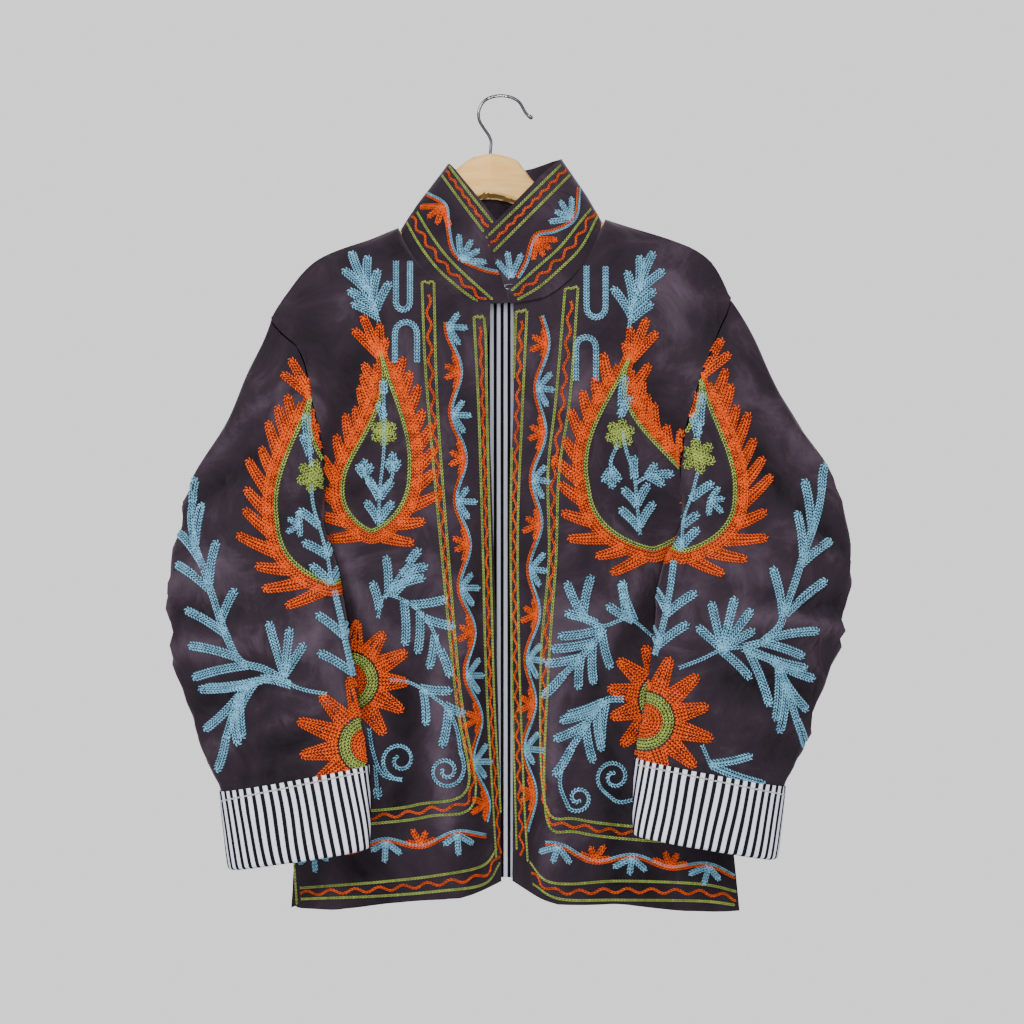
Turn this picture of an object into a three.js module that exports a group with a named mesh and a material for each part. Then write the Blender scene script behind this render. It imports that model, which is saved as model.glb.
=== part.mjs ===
// Velvet jacket with a stand collar, open at the front, hanging from a wooden hanger.
// Millimetres, +Z up, +X to the viewer's right, +Y away from the viewer.
// The origin is the inside top of the wire hook, where a nail or a rail carries it.
import * as THREE from 'three';

// Driving sizes
const VELVET = 1.6;
const COTTON = 1.0;
const SEAM_GAP = 0.3;
const SHOULDER_ROUND = 52;
const CENTRE_X = 5;
const UNDERARM_Z = { left: -443, right: -431 };
const CUFF_HEIGHT = 76;
const CUFF_TURN_IN = 26;
const WIRE_RADIUS = 1.75;
const WOOD_THICKNESS = 12;
const WOOD_CLEARANCE = 1.3;

// Grid counts: columns across or around, rows down
const FRONT_GRID = { columns: 16, rows: 22 };
const BACK_GRID = { columns: 24, rows: 22 };
const LINING_INSET = { columns: 2, top: 4, bottom: 0 };
const SLEEVE_COLUMNS_ROUND = 22;
const UNDERARM_ROW = 11;
const UNDERARM_DROP = 1;
const SHOULDER_STEP = 1;
const ARMHOLE_SHAPE = [0.5, 0.2, 0.05];
const SECTION_POWER = 0.8;
const BODY_SIDE_POWER = 1.6;
const COLLAR_GRID = { columns: 34, rows: 3 };

// A table turns rows of numbers into rows with named columns
function table(columns, rows) {
  const names = columns.split(' ');
  return rows.map((row) => Object.fromEntries(names.map((name, i) => [name, row[i]])));
}

// Velvet front, photo left. One row for each height, with the centre edge, four depths
// across the panel, and the armhole or side seam.
const FRONT_COLUMNS = 'z edgeX edgeY foldY chestY flankY hollowY sideX sideY';
const frontLeftSections = table(FRONT_COLUMNS, [
  [-832, 0, -12, -64, -62, -50, -34, -213, -16],
  [-740, -1, -22, -70, -64, -50, -34, -206, -12],
  [-640, -3, -36, -74, -66, -50, -34, -196, -11],
  [-520, -6, -52, -78, -70, -52, -35, -186, -18],
  [-443, -8, -61, -80, -75, -56, -40, -178, -36],
  [-370, -10, -70, -82, -79, -60, -46, -176, -62],
  [-312, -12, -74, -83, -81, -66, -62, -187, -70],
  [-270, -14, -75, -83, -80, -68, -64, -195, -68],
  [-232, -10, -76, -80, -76, -62, -56, -229, -50],
  [-140, -9, -76, -70, -42, -44, -48, -229, -50],
]);
const frontRightSections = table(FRONT_COLUMNS, [
  [-834, 13, -12, -64, -62, -50, -34, 243, -16],
  [-740, 14, -22, -70, -64, -50, -34, 234, -12],
  [-640, 14, -36, -74, -66, -50, -34, 220, -11],
  [-520, 11, -52, -78, -70, -52, -35, 200, -18],
  [-431, 10, -62, -80, -75, -56, -40, 182, -36],
  [-370, 12, -70, -82, -79, -60, -46, 180, -62],
  [-312, 14, -74, -83, -81, -66, -62, 192, -70],
  [-250, 14, -75, -83, -80, -68, -64, 215, -68],
  [-212, 13, -76, -79, -74, -60, -52, 230, -50],
  [-120, 13, -76, -70, -42, -44, -48, 230, -50],
]);
// Where those four depths lie, as shares of the way from centre edge to side
const FRONT_STATIONS = { edgeY: 0, foldY: 0.18, chestY: 0.42, flankY: 0.7, hollowY: 0.88, sideY: 1 };

// Velvet back: centre, two depths and the armhole or side seam on each side
const BACK_COLUMNS = 'z centreY bladeY flankY rimY sideX sideY';
const backLeftSections = table(BACK_COLUMNS, [
  [-832, 40, 43, 30, 6, -213, -16],
  [-740, 40, 42, 30, 8, -206, -12],
  [-640, 38, 40, 29, 8, -196, -11],
  [-520, 36, 37, 27, 5, -186, -18],
  [-443, 34, 35, 24, -4, -178, -36],
  [-370, 33, 34, 24, 8, -196, -2],
  [-312, 32, 33, 23, 8, -214, 4],
  [-262, 32, 32, 18, -4, -226, -20],
  [-232, 33, 31, 10, -16, -229, -50],
  [-136, 37, 30, -10, -40, -229, -50],
]);
const backRightSections = table(BACK_COLUMNS, [
  [-834, 40, 43, 30, 6, 243, -16],
  [-740, 40, 42, 30, 8, 234, -12],
  [-640, 38, 40, 29, 8, 220, -11],
  [-520, 36, 37, 27, 5, 200, -18],
  [-431, 34, 35, 24, -4, 182, -36],
  [-370, 33, 34, 24, 8, 200, -2],
  [-300, 32, 33, 23, 8, 216, 4],
  [-244, 32, 32, 18, -4, 227, -20],
  [-212, 33, 31, 10, -16, 230, -50],
  [-120, 37, 30, -10, -40, 230, -50],
]);
const BACK_STATIONS = { centreY: 0, bladeY: 0.42, flankY: 0.72, rimY: 0.9, sideY: 1 };

// Neckline and shoulder seam, from the centre outwards
const POINT_COLUMNS = 'x y z';
const shoulderLeft = table(POINT_COLUMNS, [
  [-101, -6, -136],
  [-129, -16, -149],
  [-159, -31, -161],
  [-186, -42, -175],
  [-206, -47, -197],
  [-229, -50, -232],
]);
const shoulderRight = table(POINT_COLUMNS, [
  [102, -6, -127],
  [126, -14, -135.5],
  [150, -26, -144.5],
  [173, -37, -153.5],
  [203, -45, -168],
  [220, -48, -186],
  [230, -50, -212],
]);
const frontNeckLeft = table(POINT_COLUMNS, [
  [-9, -76, -219],
  [-27, -74, -218],
  [-55, -66, -203],
  [-80, -49, -181],
  [-96, -25, -155],
]);
const frontNeckRight = table(POINT_COLUMNS, [
  [13, -76, -219],
  [46, -74, -213],
  [68, -66, -196],
  [89, -49, -168],
  [99, -25, -143],
]);
const backNeckLeft = table(POINT_COLUMNS, [
  [CENTRE_X, 40, -147],
  [-45, 34, -146],
  [-85, 16, -141],
]);
const backNeckRight = table(POINT_COLUMNS, [
  [CENTRE_X, 40, -147],
  [50, 34, -144],
  [88, 16, -135],
]);

// Hem heights from the centre edge to the side seam
const HEM_COLUMNS = 'share z';
const hemFrontLeft = table(HEM_COLUMNS, [[0, -802], [0.16, -808], [0.4, -812], [0.7, -822], [1, -829]]);
const hemFrontRight = table(HEM_COLUMNS, [[0, -802], [0.2, -815], [0.45, -816], [0.7, -824], [1, -832]]);
const hemBackLeft = table(HEM_COLUMNS, [[0, -809], [0.6, -816], [1, -829]]);
const hemBackRight = table(HEM_COLUMNS, [[0, -809], [0.6, -818], [1, -832]]);

// Collar band, from its left end, which lies underneath, round the back to its right end
const collarRows = table('x y z topX topY topZ', [
  [16, -69, -216, 10, -62, -150],
  [-4, -71, -218, -3, -62, -137],
  [-30, -71, -216, -14, -57, -122],
  [-55, -65, -202, -30, -44, -100],
  [-80, -48, -180, -43, -30, -82],
  [-96, -25, -153, -50, -16, -72],
  [-100, -6, -134, -53, 2, -70],
  [-85, 16, -139, -46, 20, -70],
  [-45, 34, -144, -24, 33, -71],
  [CENTRE_X, 40, -145, 5, 37, -71],
  [50, 34, -142, 32, 32, -67],
  [88, 16, -133, 54, 18, -62],
  [101, -6, -125, 61, 0, -64],
  [99, -25, -141, 59, -18, -68],
  [89, -50, -166, 48, -38, -80],
  [68, -69, -194, 30, -56, -101],
  [44, -78, -212, 8, -68, -126],
  [10, -81, -219, -15, -76, -151],
]);

// Sleeves, a row for each section: the outer edge, the inner edge, and how far the cloth
// stands forward and back of the line between them.
const SLEEVE_COLUMNS = 'outX outY outZ inX inY inZ ahead behind';
const sleeveLeftSections = table(SLEEVE_COLUMNS, [
  [-240, -48, -258, -184, -39, -461, 36, 38],
  [-257, -46, -294, -180, -44, -482, 34, 32],
  [-276, -45, -340, -167, -51, -502, 32, 28],
  [-300, -45, -375, -156, -60, -522, 30, 26],
  [-318, -45, -423, -151, -70, -542, 28, 24],
  [-330, -45, -478, -147, -76, -565, 26, 22],
  [-331, -46, -534, -143, -78, -588, 25, 21],
  [-321, -47, -588, -139, -78, -614, 24, 20],
  [-307, -48, -644, -134, -78, -643, 23, 20],
  [-285, -52, -692, -130, -81, -665, 23, 20],
]);
const sleeveRightSections = table(SLEEVE_COLUMNS, [
  [245, -48, -232, 188, -39, -449, 36, 38],
  [262, -46, -264, 184, -44, -470, 34, 32],
  [281, -45, -306, 171, -51, -492, 32, 28],
  [308, -45, -354, 160, -60, -512, 30, 26],
  [336, -45, -402, 155, -70, -532, 28, 24],
  [351, -45, -458, 151, -76, -554, 26, 22],
  [347, -46, -512, 147, -78, -578, 25, 21],
  [338, -47, -556, 143, -78, -606, 24, 20],
  [314, -48, -628, 138, -78, -636, 23, 20],
  [290, -52, -687, 134, -81, -658, 23, 20],
]);

// Turned-back cuffs: the corners of the band as it hangs
const cuffLeftCorners = {
  top: { outX: -281, outZ: -704, inX: -128, inZ: -674 },
  bottom: { outX: -273, outZ: -781, inX: -126, inZ: -755 },
};
const cuffRightCorners = {
  top: { outX: 286, outZ: -699, inX: 132, inZ: -667 },
  bottom: { outX: 278, outZ: -771, inX: 129, inZ: -742 },
};
const CUFF_DEPTH = { outY: -56, inY: -84, ahead: 24, behind: 20 };
// The sleeve's end inside the cuff: shares of the cuff's height, and how far in it lies
const SLEEVE_END_SHARES = [-0.03, 0.45, 0.93];
const SLEEVE_END_INSET = 3;

// Hanger: the top line of the wood out to where the shoulder seam begins, with its height
const woodHead = table('x y top height', [
  [-84, -5, -124, 30],
  [-62, -3, -100, 38],
  [-42, -1, -72, 42],
  [-31, 0, -64, 44],
  [-10, 0, -60, 44],
  [10, 0, -62, 46],
  [21, 0, -68, 44],
  [34, -1, -90, 34],
  [60, -3, -105, 32],
  [84, -5, -118, 30],
]);
const hookRoute = table(POINT_COLUMNS, [
  [-10.5, 0, -59.6],
  [-10, 0, -52],
  [-9.6, 0, -45],
  [-12, 0, -39],
  [-17.5, 0, -31],
  [-21.6, 0, -24],
  [-22.6, 0, -17],
  [-21, 0, -10],
  [-17, 0, -3.8],
  [-10.5, 0, 0],
  [-2, 0, 1.75],
  [6, 0, 1.4],
  [13.5, 0, -0.8],
  [19.5, 0, -5],
  [23, 0, -10.6],
  [26, 0, -16],
  [30, 0, -19.8],
  [33.4, 0, -21.4],
]);

// Velvet, striped cotton, wood and metal
const velvet = new THREE.MeshStandardMaterial({ color: 0x3d343e, roughness: 0.9, metalness: 0 });
const cotton = new THREE.MeshStandardMaterial({ color: 0xb9b9c8, roughness: 0.85, metalness: 0 });
const beech = new THREE.MeshStandardMaterial({ color: 0xe6c394, roughness: 0.5, metalness: 0 });
const chrome = new THREE.MeshStandardMaterial({ color: 0xb8b8bc, roughness: 0.2, metalness: 1 });

// Smooth curve through the rows of a table, with no overshoot: the value of one column
// where another column, which rises or falls all the way, is `at`.
function along(rows, key, value, at) {
  const rising = rows[rows.length - 1][key] > rows[0][key];
  const list = rising ? rows : [...rows].reverse();
  if (at <= list[0][key]) return list[0][value];
  if (at >= list[list.length - 1][key]) return list[list.length - 1][value];
  let i = 0;
  while (list[i + 1][key] < at) i += 1;
  const step = (k) => (list[k + 1][value] - list[k][value]) / (list[k + 1][key] - list[k][key]);
  const slopeAt = (k) => {
    if (k === 0) return step(0);
    if (k === list.length - 1) return step(k - 1);
    const before = step(k - 1);
    const after = step(k);
    return before * after > 0 ? (2 * before * after) / (before + after) : 0;
  };
  const width = list[i + 1][key] - list[i][key];
  const t = (at - list[i][key]) / width;
  const start = list[i][value] * (1 + 2 * t) * (1 - t) ** 2 + slopeAt(i) * width * t * (1 - t) ** 2;
  const end = list[i + 1][value] * t * t * (3 - 2 * t) + slopeAt(i + 1) * width * t * t * (t - 1);
  return start + end;
}

// Depth across a panel at one height: a smooth curve through its stations
function depthAcross(panel, z, share) {
  const rows = Object.entries(panel.stations).map(([column, at]) => ({
    at,
    y: column === 'sideY' ? sideEdge(panel, column, z) : along(panel.sections, 'z', column, z),
  }));
  return along(rows, 'at', 'y', share);
}

// The side edge has a corner at the underarm: above it lies the armhole, and below it the
// side seam, which front and back share.
function sideEdge(panel, value, z) {
  const narrowest = panel.underarmZ;
  const stretch = panel.sections.filter((row) => (z < narrowest ? row.z <= narrowest : row.z >= narrowest));
  return along(stretch, 'z', value, z);
}

// A panel point: `share` goes from the centre to the side, `down` from the top line to the hem
function panelPoint(panel, share, down) {
  const topX = panel.startX + share * (panel.endX - panel.startX);
  const top = along(panel.topLine, 'x', 'z', topX);
  const topY = along(panel.topLine, 'x', 'y', topX);
  const hem = along(panel.hem, 'share', 'z', share);
  const z = top + down * (hem - top);
  const nearX = panel.edgeColumn ? along(panel.sections, 'z', panel.edgeColumn, z) : CENTRE_X;
  const farX = sideEdge(panel, 'sideX', z);
  const full = depthAcross(panel, z, share);
  const fall = Math.min(1, (top - z) / SHOULDER_ROUND);
  const rounded = Math.sqrt(1 - (1 - fall) ** 2);
  return new THREE.Vector3(nearX + share * (farX - nearX), topY + rounded * (full - topY), z);
}

function makePanel(sections, stations, topLine, hem, edgeColumn, underarmZ) {
  const startX = topLine[0].x;
  const endX = topLine[topLine.length - 1].x;
  return { sections, stations, topLine, hem, edgeColumn, underarmZ, startX, endX };
}

const panels = {
  frontLeft: makePanel(
    frontLeftSections, FRONT_STATIONS, [...frontNeckLeft, ...shoulderLeft], hemFrontLeft, 'edgeX', UNDERARM_Z.left),
  frontRight: makePanel(
    frontRightSections, FRONT_STATIONS, [...frontNeckRight, ...shoulderRight], hemFrontRight, 'edgeX', UNDERARM_Z.right),
  backLeft: makePanel(
    backLeftSections, BACK_STATIONS, [...backNeckLeft, ...shoulderLeft], hemBackLeft, null, UNDERARM_Z.left),
  backRight: makePanel(
    backRightSections, BACK_STATIONS, [...backNeckRight, ...shoulderRight], hemBackRight, null, UNDERARM_Z.right),
};

// Rows close up towards the top line, where the cloth rounds over the shoulder
function rowShares(rows) {
  return Array.from({ length: rows + 1 }, (_, i) => (i / rows) ** 1.5);
}

function gridOf(downShares, acrossShares, pointAt) {
  return downShares.map((down) => acrossShares.map((across) => pointAt(across, down)));
}

// Surface direction at every grid point, from the quads around it, turned to the side that
// `outside` points to
function gridNormals(grid, wraps, outside) {
  const columns = grid[0].length;
  const spans = wraps ? columns : columns - 1;
  const normals = grid.map((line) => line.map(() => new THREE.Vector3()));
  for (let r = 0; r < grid.length - 1; r += 1) {
    for (let c = 0; c < spans; c += 1) {
      const next = (c + 1) % columns;
      const falling = grid[r + 1][next].clone().sub(grid[r][c]);
      const rising = grid[r][next].clone().sub(grid[r + 1][c]);
      const quadNormal = rising.cross(falling).normalize();
      [normals[r][c], normals[r][next], normals[r + 1][c], normals[r + 1][next]]
        .forEach((normal) => normal.add(quadNormal));
    }
  }
  let agreement = 0;
  normals.forEach((line, r) => line.forEach((normal, c) => {
    normal.normalize();
    agreement += normal.dot(outside(grid[r][c], grid[r]));
  }));
  if (agreement < 0) normals.flat().forEach((normal) => normal.negate());
  return normals;
}

function offsetGrid(grid, normals, distance) {
  return grid.map((line, r) => line.map((point, c) => (
    point.clone().addScaledVector(normals[r][c], distance))));
}

// Geometry from vertices and triangles, with its faces turned outwards
function closedGeometry(vertices, triangles) {
  let volume = 0;
  for (const [a, b, c] of triangles) {
    volume += vertices[a].dot(vertices[b].clone().cross(vertices[c]));
  }
  const index = volume < 0 ? triangles.map(([a, b, c]) => [a, c, b]) : triangles;
  const geometry = new THREE.BufferGeometry();
  const flat = vertices.flatMap((v) => [v.x, v.y, v.z]);
  geometry.setAttribute('position', new THREE.Float32BufferAttribute(flat, 3));
  geometry.setIndex(index.flat());
  geometry.computeVertexNormals();
  return geometry;
}

// A cloth wall between two grids of the same size. `wraps` joins the last column to the first.
function wallBetween(outer, inner, wraps) {
  const rows = outer.length;
  const columns = outer[0].length;
  const vertices = [...outer.flat(), ...inner.flat()];
  const at = (layer, r, c) => layer * rows * columns + r * columns + (c % columns);
  const triangles = [];
  const quad = (a, b, c, d) => triangles.push([a, b, c], [a, c, d]);
  const spans = wraps ? columns : columns - 1;
  for (let r = 0; r < rows - 1; r += 1) {
    for (let c = 0; c < spans; c += 1) {
      quad(at(0, r, c), at(0, r, c + 1), at(0, r + 1, c + 1), at(0, r + 1, c));
      quad(at(1, r, c), at(1, r + 1, c), at(1, r + 1, c + 1), at(1, r, c + 1));
    }
  }
  for (let c = 0; c < spans; c += 1) {
    quad(at(0, 0, c), at(1, 0, c), at(1, 0, c + 1), at(0, 0, c + 1));
    quad(at(0, rows - 1, c), at(0, rows - 1, c + 1), at(1, rows - 1, c + 1), at(1, rows - 1, c));
  }
  if (!wraps) {
    for (let r = 0; r < rows - 1; r += 1) {
      quad(at(0, r, 0), at(0, r + 1, 0), at(1, r + 1, 0), at(1, r, 0));
      quad(at(0, r, spans), at(1, r, spans), at(1, r + 1, spans), at(0, r + 1, spans));
    }
  }
  return closedGeometry(vertices, triangles);
}

const ahead = new THREE.Vector3(0, -1, 0);
const behind = new THREE.Vector3(0, 1, 0);

// Fronts: the wall stands out from the inner surface, and stops a seam gap short at the side
function frontGrid(panel) {
  const { columns, rows } = FRONT_GRID;
  const width = Math.abs(panel.endX - panel.startX);
  const across = Array.from({ length: columns + 1 }, (_, i) => (i / columns) * (1 - SEAM_GAP / width));
  const grid = gridOf(rowShares(rows), across, (s, d) => panelPoint(panel, s, d));
  return { grid, normals: gridNormals(grid, false, () => ahead) };
}

function frontGeometry(panel) {
  const { grid, normals } = frontGrid(panel);
  return wallBetween(offsetGrid(grid, normals, VELVET), grid, false);
}

// A point of the whole back: `across` goes from -1 at the left side to 1 at the right side
function backPoint(across, down) {
  return panelPoint(across < 0 ? panels.backLeft : panels.backRight, Math.abs(across), down);
}

function backGrid() {
  const { columns, rows } = BACK_GRID;
  const reach = 0.998;
  const across = Array.from({ length: columns + 1 }, (_, i) => reach * (2 * i / columns - 1));
  const grid = gridOf(rowShares(rows), across, (s, d) => backPoint(s, Math.max(d, SEAM_GAP / 600)));
  return { grid, normals: gridNormals(grid, false, () => behind) };
}

function backGeometry() {
  const { grid, normals } = backGrid();
  return wallBetween(offsetGrid(grid, normals, VELVET), grid, false);
}

// The lining lies on the inside of the back, clear of the seams
function liningGeometry() {
  const { grid, normals } = backGrid();
  const inside = (lines) => lines
    .slice(LINING_INSET.top, lines.length - LINING_INSET.bottom)
    .map((line) => line.slice(LINING_INSET.columns, line.length - LINING_INSET.columns));
  const face = offsetGrid(inside(grid), inside(normals), -SEAM_GAP - COTTON);
  const hidden = offsetGrid(inside(grid), inside(normals), -SEAM_GAP);
  return wallBetween(hidden, face, false);
}

// Collar: straight strips between the neck row and the top row, with a slight outward bow
function collarGeometry() {
  const last = collarRows.length - 1;
  const rows = collarRows.map((row, i) => ({ ...row, at: i / last }));
  const read = (column, at) => along(rows, 'at', column, at);
  const shares = Array.from({ length: COLLAR_GRID.columns + 1 }, (_, i) => i / COLLAR_GRID.columns);
  const levels = Array.from({ length: COLLAR_GRID.rows + 1 }, (_, i) => i / COLLAR_GRID.rows);
  const grid = gridOf(levels, shares, (at, up) => {
    const foot = new THREE.Vector3(read('x', at), read('y', at), read('z', at) + 2.2);
    const top = new THREE.Vector3(read('topX', at), read('topY', at), read('topZ', at));
    return foot.lerp(top, up);
  });
  const middle = new THREE.Vector3(CENTRE_X, -18, -140);
  const outside = (point) => point.clone().sub(middle);
  const normals = gridNormals(grid, false, outside);
  return wallBetween(offsetGrid(grid, normals, VELVET), grid, false);
}

// Armhole of the body, point by point with the cloth's outward direction: down the front
// panel's edge to the underarm, then up the back panel's edge to the shoulder tip.
function armholeLoop(frontPanel, backColumn) {
  const front = frontGrid(frontPanel);
  const back = backGrid();
  const last = FRONT_GRID.columns;
  return Array.from({ length: SLEEVE_COLUMNS_ROUND }, (_, i) => {
    if (i <= UNDERARM_ROW) return { point: front.grid[i][last], normal: front.normals[i][last] };
    const row = SLEEVE_COLUMNS_ROUND - i;
    return { point: back.grid[row][backColumn], normal: back.normals[row][backColumn] };
  });
}

const ringTurns = Array.from({ length: SLEEVE_COLUMNS_ROUND }, (_, i) => i / SLEEVE_COLUMNS_ROUND);

// One point of a sleeve section. The half turn of the front comes first, and the quarter
// beside the body is flatter than the others.
function sectionPoint(row, turn) {
  const angle = turn * 2 * Math.PI;
  const outer = new THREE.Vector3(row.outX, row.outY, row.outZ);
  const inner = new THREE.Vector3(row.inX, row.inY, row.inZ);
  const share = (1 - Math.cos(angle)) / 2;
  const lift = Math.sin(angle);
  const bulge = lift > 0 ? -row.ahead : row.behind;
  const besideBody = lift < 0 && share > 0.5;
  const point = outer.lerp(inner, share);
  point.y += bulge * Math.abs(lift) ** (besideBody ? BODY_SIDE_POWER : SECTION_POWER);
  return point;
}

// The sleeve starts just off the outer face of the body's cloth, and a little lower at the
// underarm, where it folds under.
function sleeveGrid(frontPanel, backColumn, upperSections, corners) {
  const ends = SLEEVE_END_SHARES.map((share) => cuffSection(corners, share, SLEEVE_END_INSET));
  const rings = [...upperSections, ...ends].map((row) => (
    ringTurns.map((turn) => sectionPoint(row, turn))));
  const seam = armholeLoop(frontPanel, backColumn).map(({ point, normal }, i, loop) => {
    const low = (1 - Math.cos(ringTurns[i] * 2 * Math.PI)) / 2;
    const next = loop[(i + 1) % loop.length].point;
    const previous = loop[(i + loop.length - 1) % loop.length].point;
    const alongSeam = next.clone().sub(previous).normalize();
    const away = rings[0][i].clone().sub(point);
    away.addScaledVector(alongSeam, -away.dot(alongSeam)).normalize();
    const thickness = VELVET * Math.max(0, -normal.dot(away));
    const clear = 4 * SEAM_GAP + thickness + UNDERARM_DROP * low ** 4 + SHOULDER_STEP * (1 - low) ** 4;
    return point.clone().addScaledVector(normal, VELVET).addScaledVector(away, clear);
  });
  const first = { ...upperSections[0] };
  [first.outX, first.outY, first.outZ] = seam[0].toArray();
  [first.inX, first.inY, first.inZ] = seam[UNDERARM_ROW].toArray();
  const difference = seam.map((point, i) => point.clone().sub(sectionPoint(first, ringTurns[i])));
  ARMHOLE_SHAPE.forEach((weight, k) => {
    rings[k].forEach((point, i) => point.addScaledVector(difference[i], weight));
  });
  return [seam, ...rings];
}

function fromRingCentre(point, line) {
  const centre = new THREE.Vector3();
  line.forEach((other) => centre.addScaledVector(other, 1 / line.length));
  return point.clone().sub(centre);
}

function sleeveGeometry(frontPanel, backColumn, sections, corners) {
  const grid = sleeveGrid(frontPanel, backColumn, sections, corners);
  const normals = gridNormals(grid, true, fromRingCentre);
  return wallBetween(grid, offsetGrid(grid, normals, -VELVET), true);
}

// A section of a cuff: `share` goes down its height, and `inset` in from its outer face
function cuffSection(corners, share, inset) {
  const mix = (column) => corners.top[column] + share * (corners.bottom[column] - corners.top[column]);
  const inwards = Math.sign(corners.top.inX - corners.top.outX);
  return {
    outX: mix('outX') + inwards * inset,
    outY: CUFF_DEPTH.outY,
    outZ: mix('outZ'),
    inX: mix('inX') - inwards * inset,
    inY: CUFF_DEPTH.inY,
    inZ: mix('inZ'),
    ahead: CUFF_DEPTH.ahead - inset,
    behind: CUFF_DEPTH.behind - inset,
  };
}

// Cuff: one strip of doubled cotton, from its top edge down the outside of the sleeve,
// round the fold and up inside the sleeve end.
function cuffGeometry(corners) {
  const ringAt = (share, inset) => {
    const row = cuffSection(corners, share, inset);
    return ringTurns.map((turn) => sectionPoint(row, turn));
  };
  const turnIn = CUFF_TURN_IN / CUFF_HEIGHT;
  const thickness = 2 * COTTON;
  // Each step: how far down the cuff, and how far in from its outer face
  const faceSteps = [[0, 0], [0.5, 0], [0.96, 0], [1, 1.2], [1.02, 5], [1, 9], [0.96, 10], [1 - turnIn, 10]];
  const backSteps = [
    [0, thickness], [0.5, thickness], [0.95, thickness], [0.975, 2.6],
    [0.985, 5], [0.975, 7.4], [0.95, 8.2], [1 - turnIn, 8.2],
  ];
  const face = faceSteps.map(([share, inset]) => ringAt(share, inset));
  const backing = backSteps.map(([share, inset]) => ringAt(share, inset));
  return wallBetween(face, backing, true);
}

// Hanger wood: crowned sections along the arms, which follow the shoulder seams
function hangerSections() {
  const armRow = (point, share) => ({
    x: point.x,
    y: point.y,
    top: point.z - WOOD_CLEARANCE,
    height: 28 - 8 * share,
  });
  const arm = (seam) => {
    const reach = seam.filter((point) => Math.abs(point.x) < 195);
    return reach.map((point, i) => armRow(point, i / (reach.length - 1)));
  };
  return [...arm(shoulderLeft).reverse(), ...woodHead, ...arm(shoulderRight)];
}

function hangerGeometry() {
  const rows = hangerSections();
  const first = rows[0].x;
  const last = rows[rows.length - 1].x;
  const count = 30;
  const ringSides = 10;
  const rings = [];
  for (let i = 0; i <= count; i += 1) {
    const x = first + (i / count) * (last - first);
    const y = along(rows, 'x', 'y', x);
    const top = along(rows, 'x', 'top', x);
    const height = along(rows, 'x', 'height', x);
    const ends = Math.min(i, count - i) === 0 ? 0.6 : 1;
    rings.push(Array.from({ length: ringSides }, (_, k) => {
      const angle = (k / ringSides) * 2 * Math.PI;
      const across = Math.sin(angle) * (WOOD_THICKNESS / 2) * ends;
      const up = Math.cos(angle) * (height / 2) * ends;
      return new THREE.Vector3(x, y + across, top - height / 2 + up);
    }));
  }
  return tubeGeometry(rings);
}

// A solid bar through rings of points, closed with a fan at each end
function tubeGeometry(rings) {
  const sides = rings[0].length;
  const vertices = rings.flat();
  const triangles = [];
  const at = (r, c) => r * sides + (c % sides);
  for (let r = 0; r < rings.length - 1; r += 1) {
    for (let c = 0; c < sides; c += 1) {
      triangles.push([at(r, c), at(r, c + 1), at(r + 1, c + 1)]);
      triangles.push([at(r, c), at(r + 1, c + 1), at(r + 1, c)]);
    }
  }
  const end = rings.length - 1;
  for (let c = 1; c < sides - 1; c += 1) {
    triangles.push([at(0, 0), at(0, c + 1), at(0, c)]);
    triangles.push([at(end, 0), at(end, c), at(end, c + 1)]);
  }
  return closedGeometry(vertices, triangles);
}

// Round wire along a flat route, with a ball-like swelling at its far end
function wireGeometry(route, radius, steps, sides, tipScale) {
  const curve = new THREE.CatmullRomCurve3(route.map((p) => new THREE.Vector3(p.x, p.y, p.z)));
  const across = new THREE.Vector3(0, 1, 0);
  const rings = [];
  for (let i = 0; i <= steps; i += 1) {
    const share = i / steps;
    const centre = curve.getPointAt(share);
    const forward = curve.getTangentAt(share);
    const side = forward.clone().cross(across).normalize();
    const nearTip = Math.max(0, 1 - (1 - share) * 24);
    const size = radius * (1 + (tipScale - 1) * Math.sin(nearTip * Math.PI));
    rings.push(Array.from({ length: sides }, (_, k) => {
      const angle = (k / sides) * 2 * Math.PI;
      return centre.clone()
        .addScaledVector(across, Math.cos(angle) * size)
        .addScaledVector(side, Math.sin(angle) * size);
    }));
  }
  return tubeGeometry(rings);
}

// Small hook sewn on at the throat, bent from fine wire
const neckHookRoute = table(POINT_COLUMNS, [
  [12.5, -82.5, -207],
  [8.5, -82.9, -207.2],
  [4.8, -82.9, -206.2],
  [4.8, -82.9, -203.6],
  [8.5, -82.9, -202.4],
  [12.5, -82.5, -202.6],
]);

const jacket = new THREE.Group();

function addPiece(name, geometry, material) {
  const mesh = new THREE.Mesh(geometry, material);
  mesh.name = name;
  jacket.add(mesh);
}

addPiece('hanger_wood', hangerGeometry(), beech);
addPiece('hanger_hook', wireGeometry(hookRoute, WIRE_RADIUS, 44, 8, 1.5), chrome);
addPiece('front_left', frontGeometry(panels.frontLeft), velvet);
addPiece('front_right', frontGeometry(panels.frontRight), velvet);
addPiece('back', backGeometry(), velvet);
addPiece('lining_back', liningGeometry(), cotton);
addPiece('collar', collarGeometry(), velvet);
addPiece('sleeve_left', sleeveGeometry(
  panels.frontLeft, 0, sleeveLeftSections, cuffLeftCorners), velvet);
addPiece('sleeve_right', sleeveGeometry(
  panels.frontRight, BACK_GRID.columns, sleeveRightSections, cuffRightCorners), velvet);
addPiece('cuff_left', cuffGeometry(cuffLeftCorners), cotton);
addPiece('cuff_right', cuffGeometry(cuffRightCorners), cotton);
addPiece('neck_hook', wireGeometry(neckHookRoute, 0.6, 10, 6, 1), chrome);

export default jacket;
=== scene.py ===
# Velvet jacket with chain-stitch embroidery, on a wooden hanger.
# Metres in the row frame: +Z up, +X to the viewer's right, +Y away from the viewer.
import math

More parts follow.
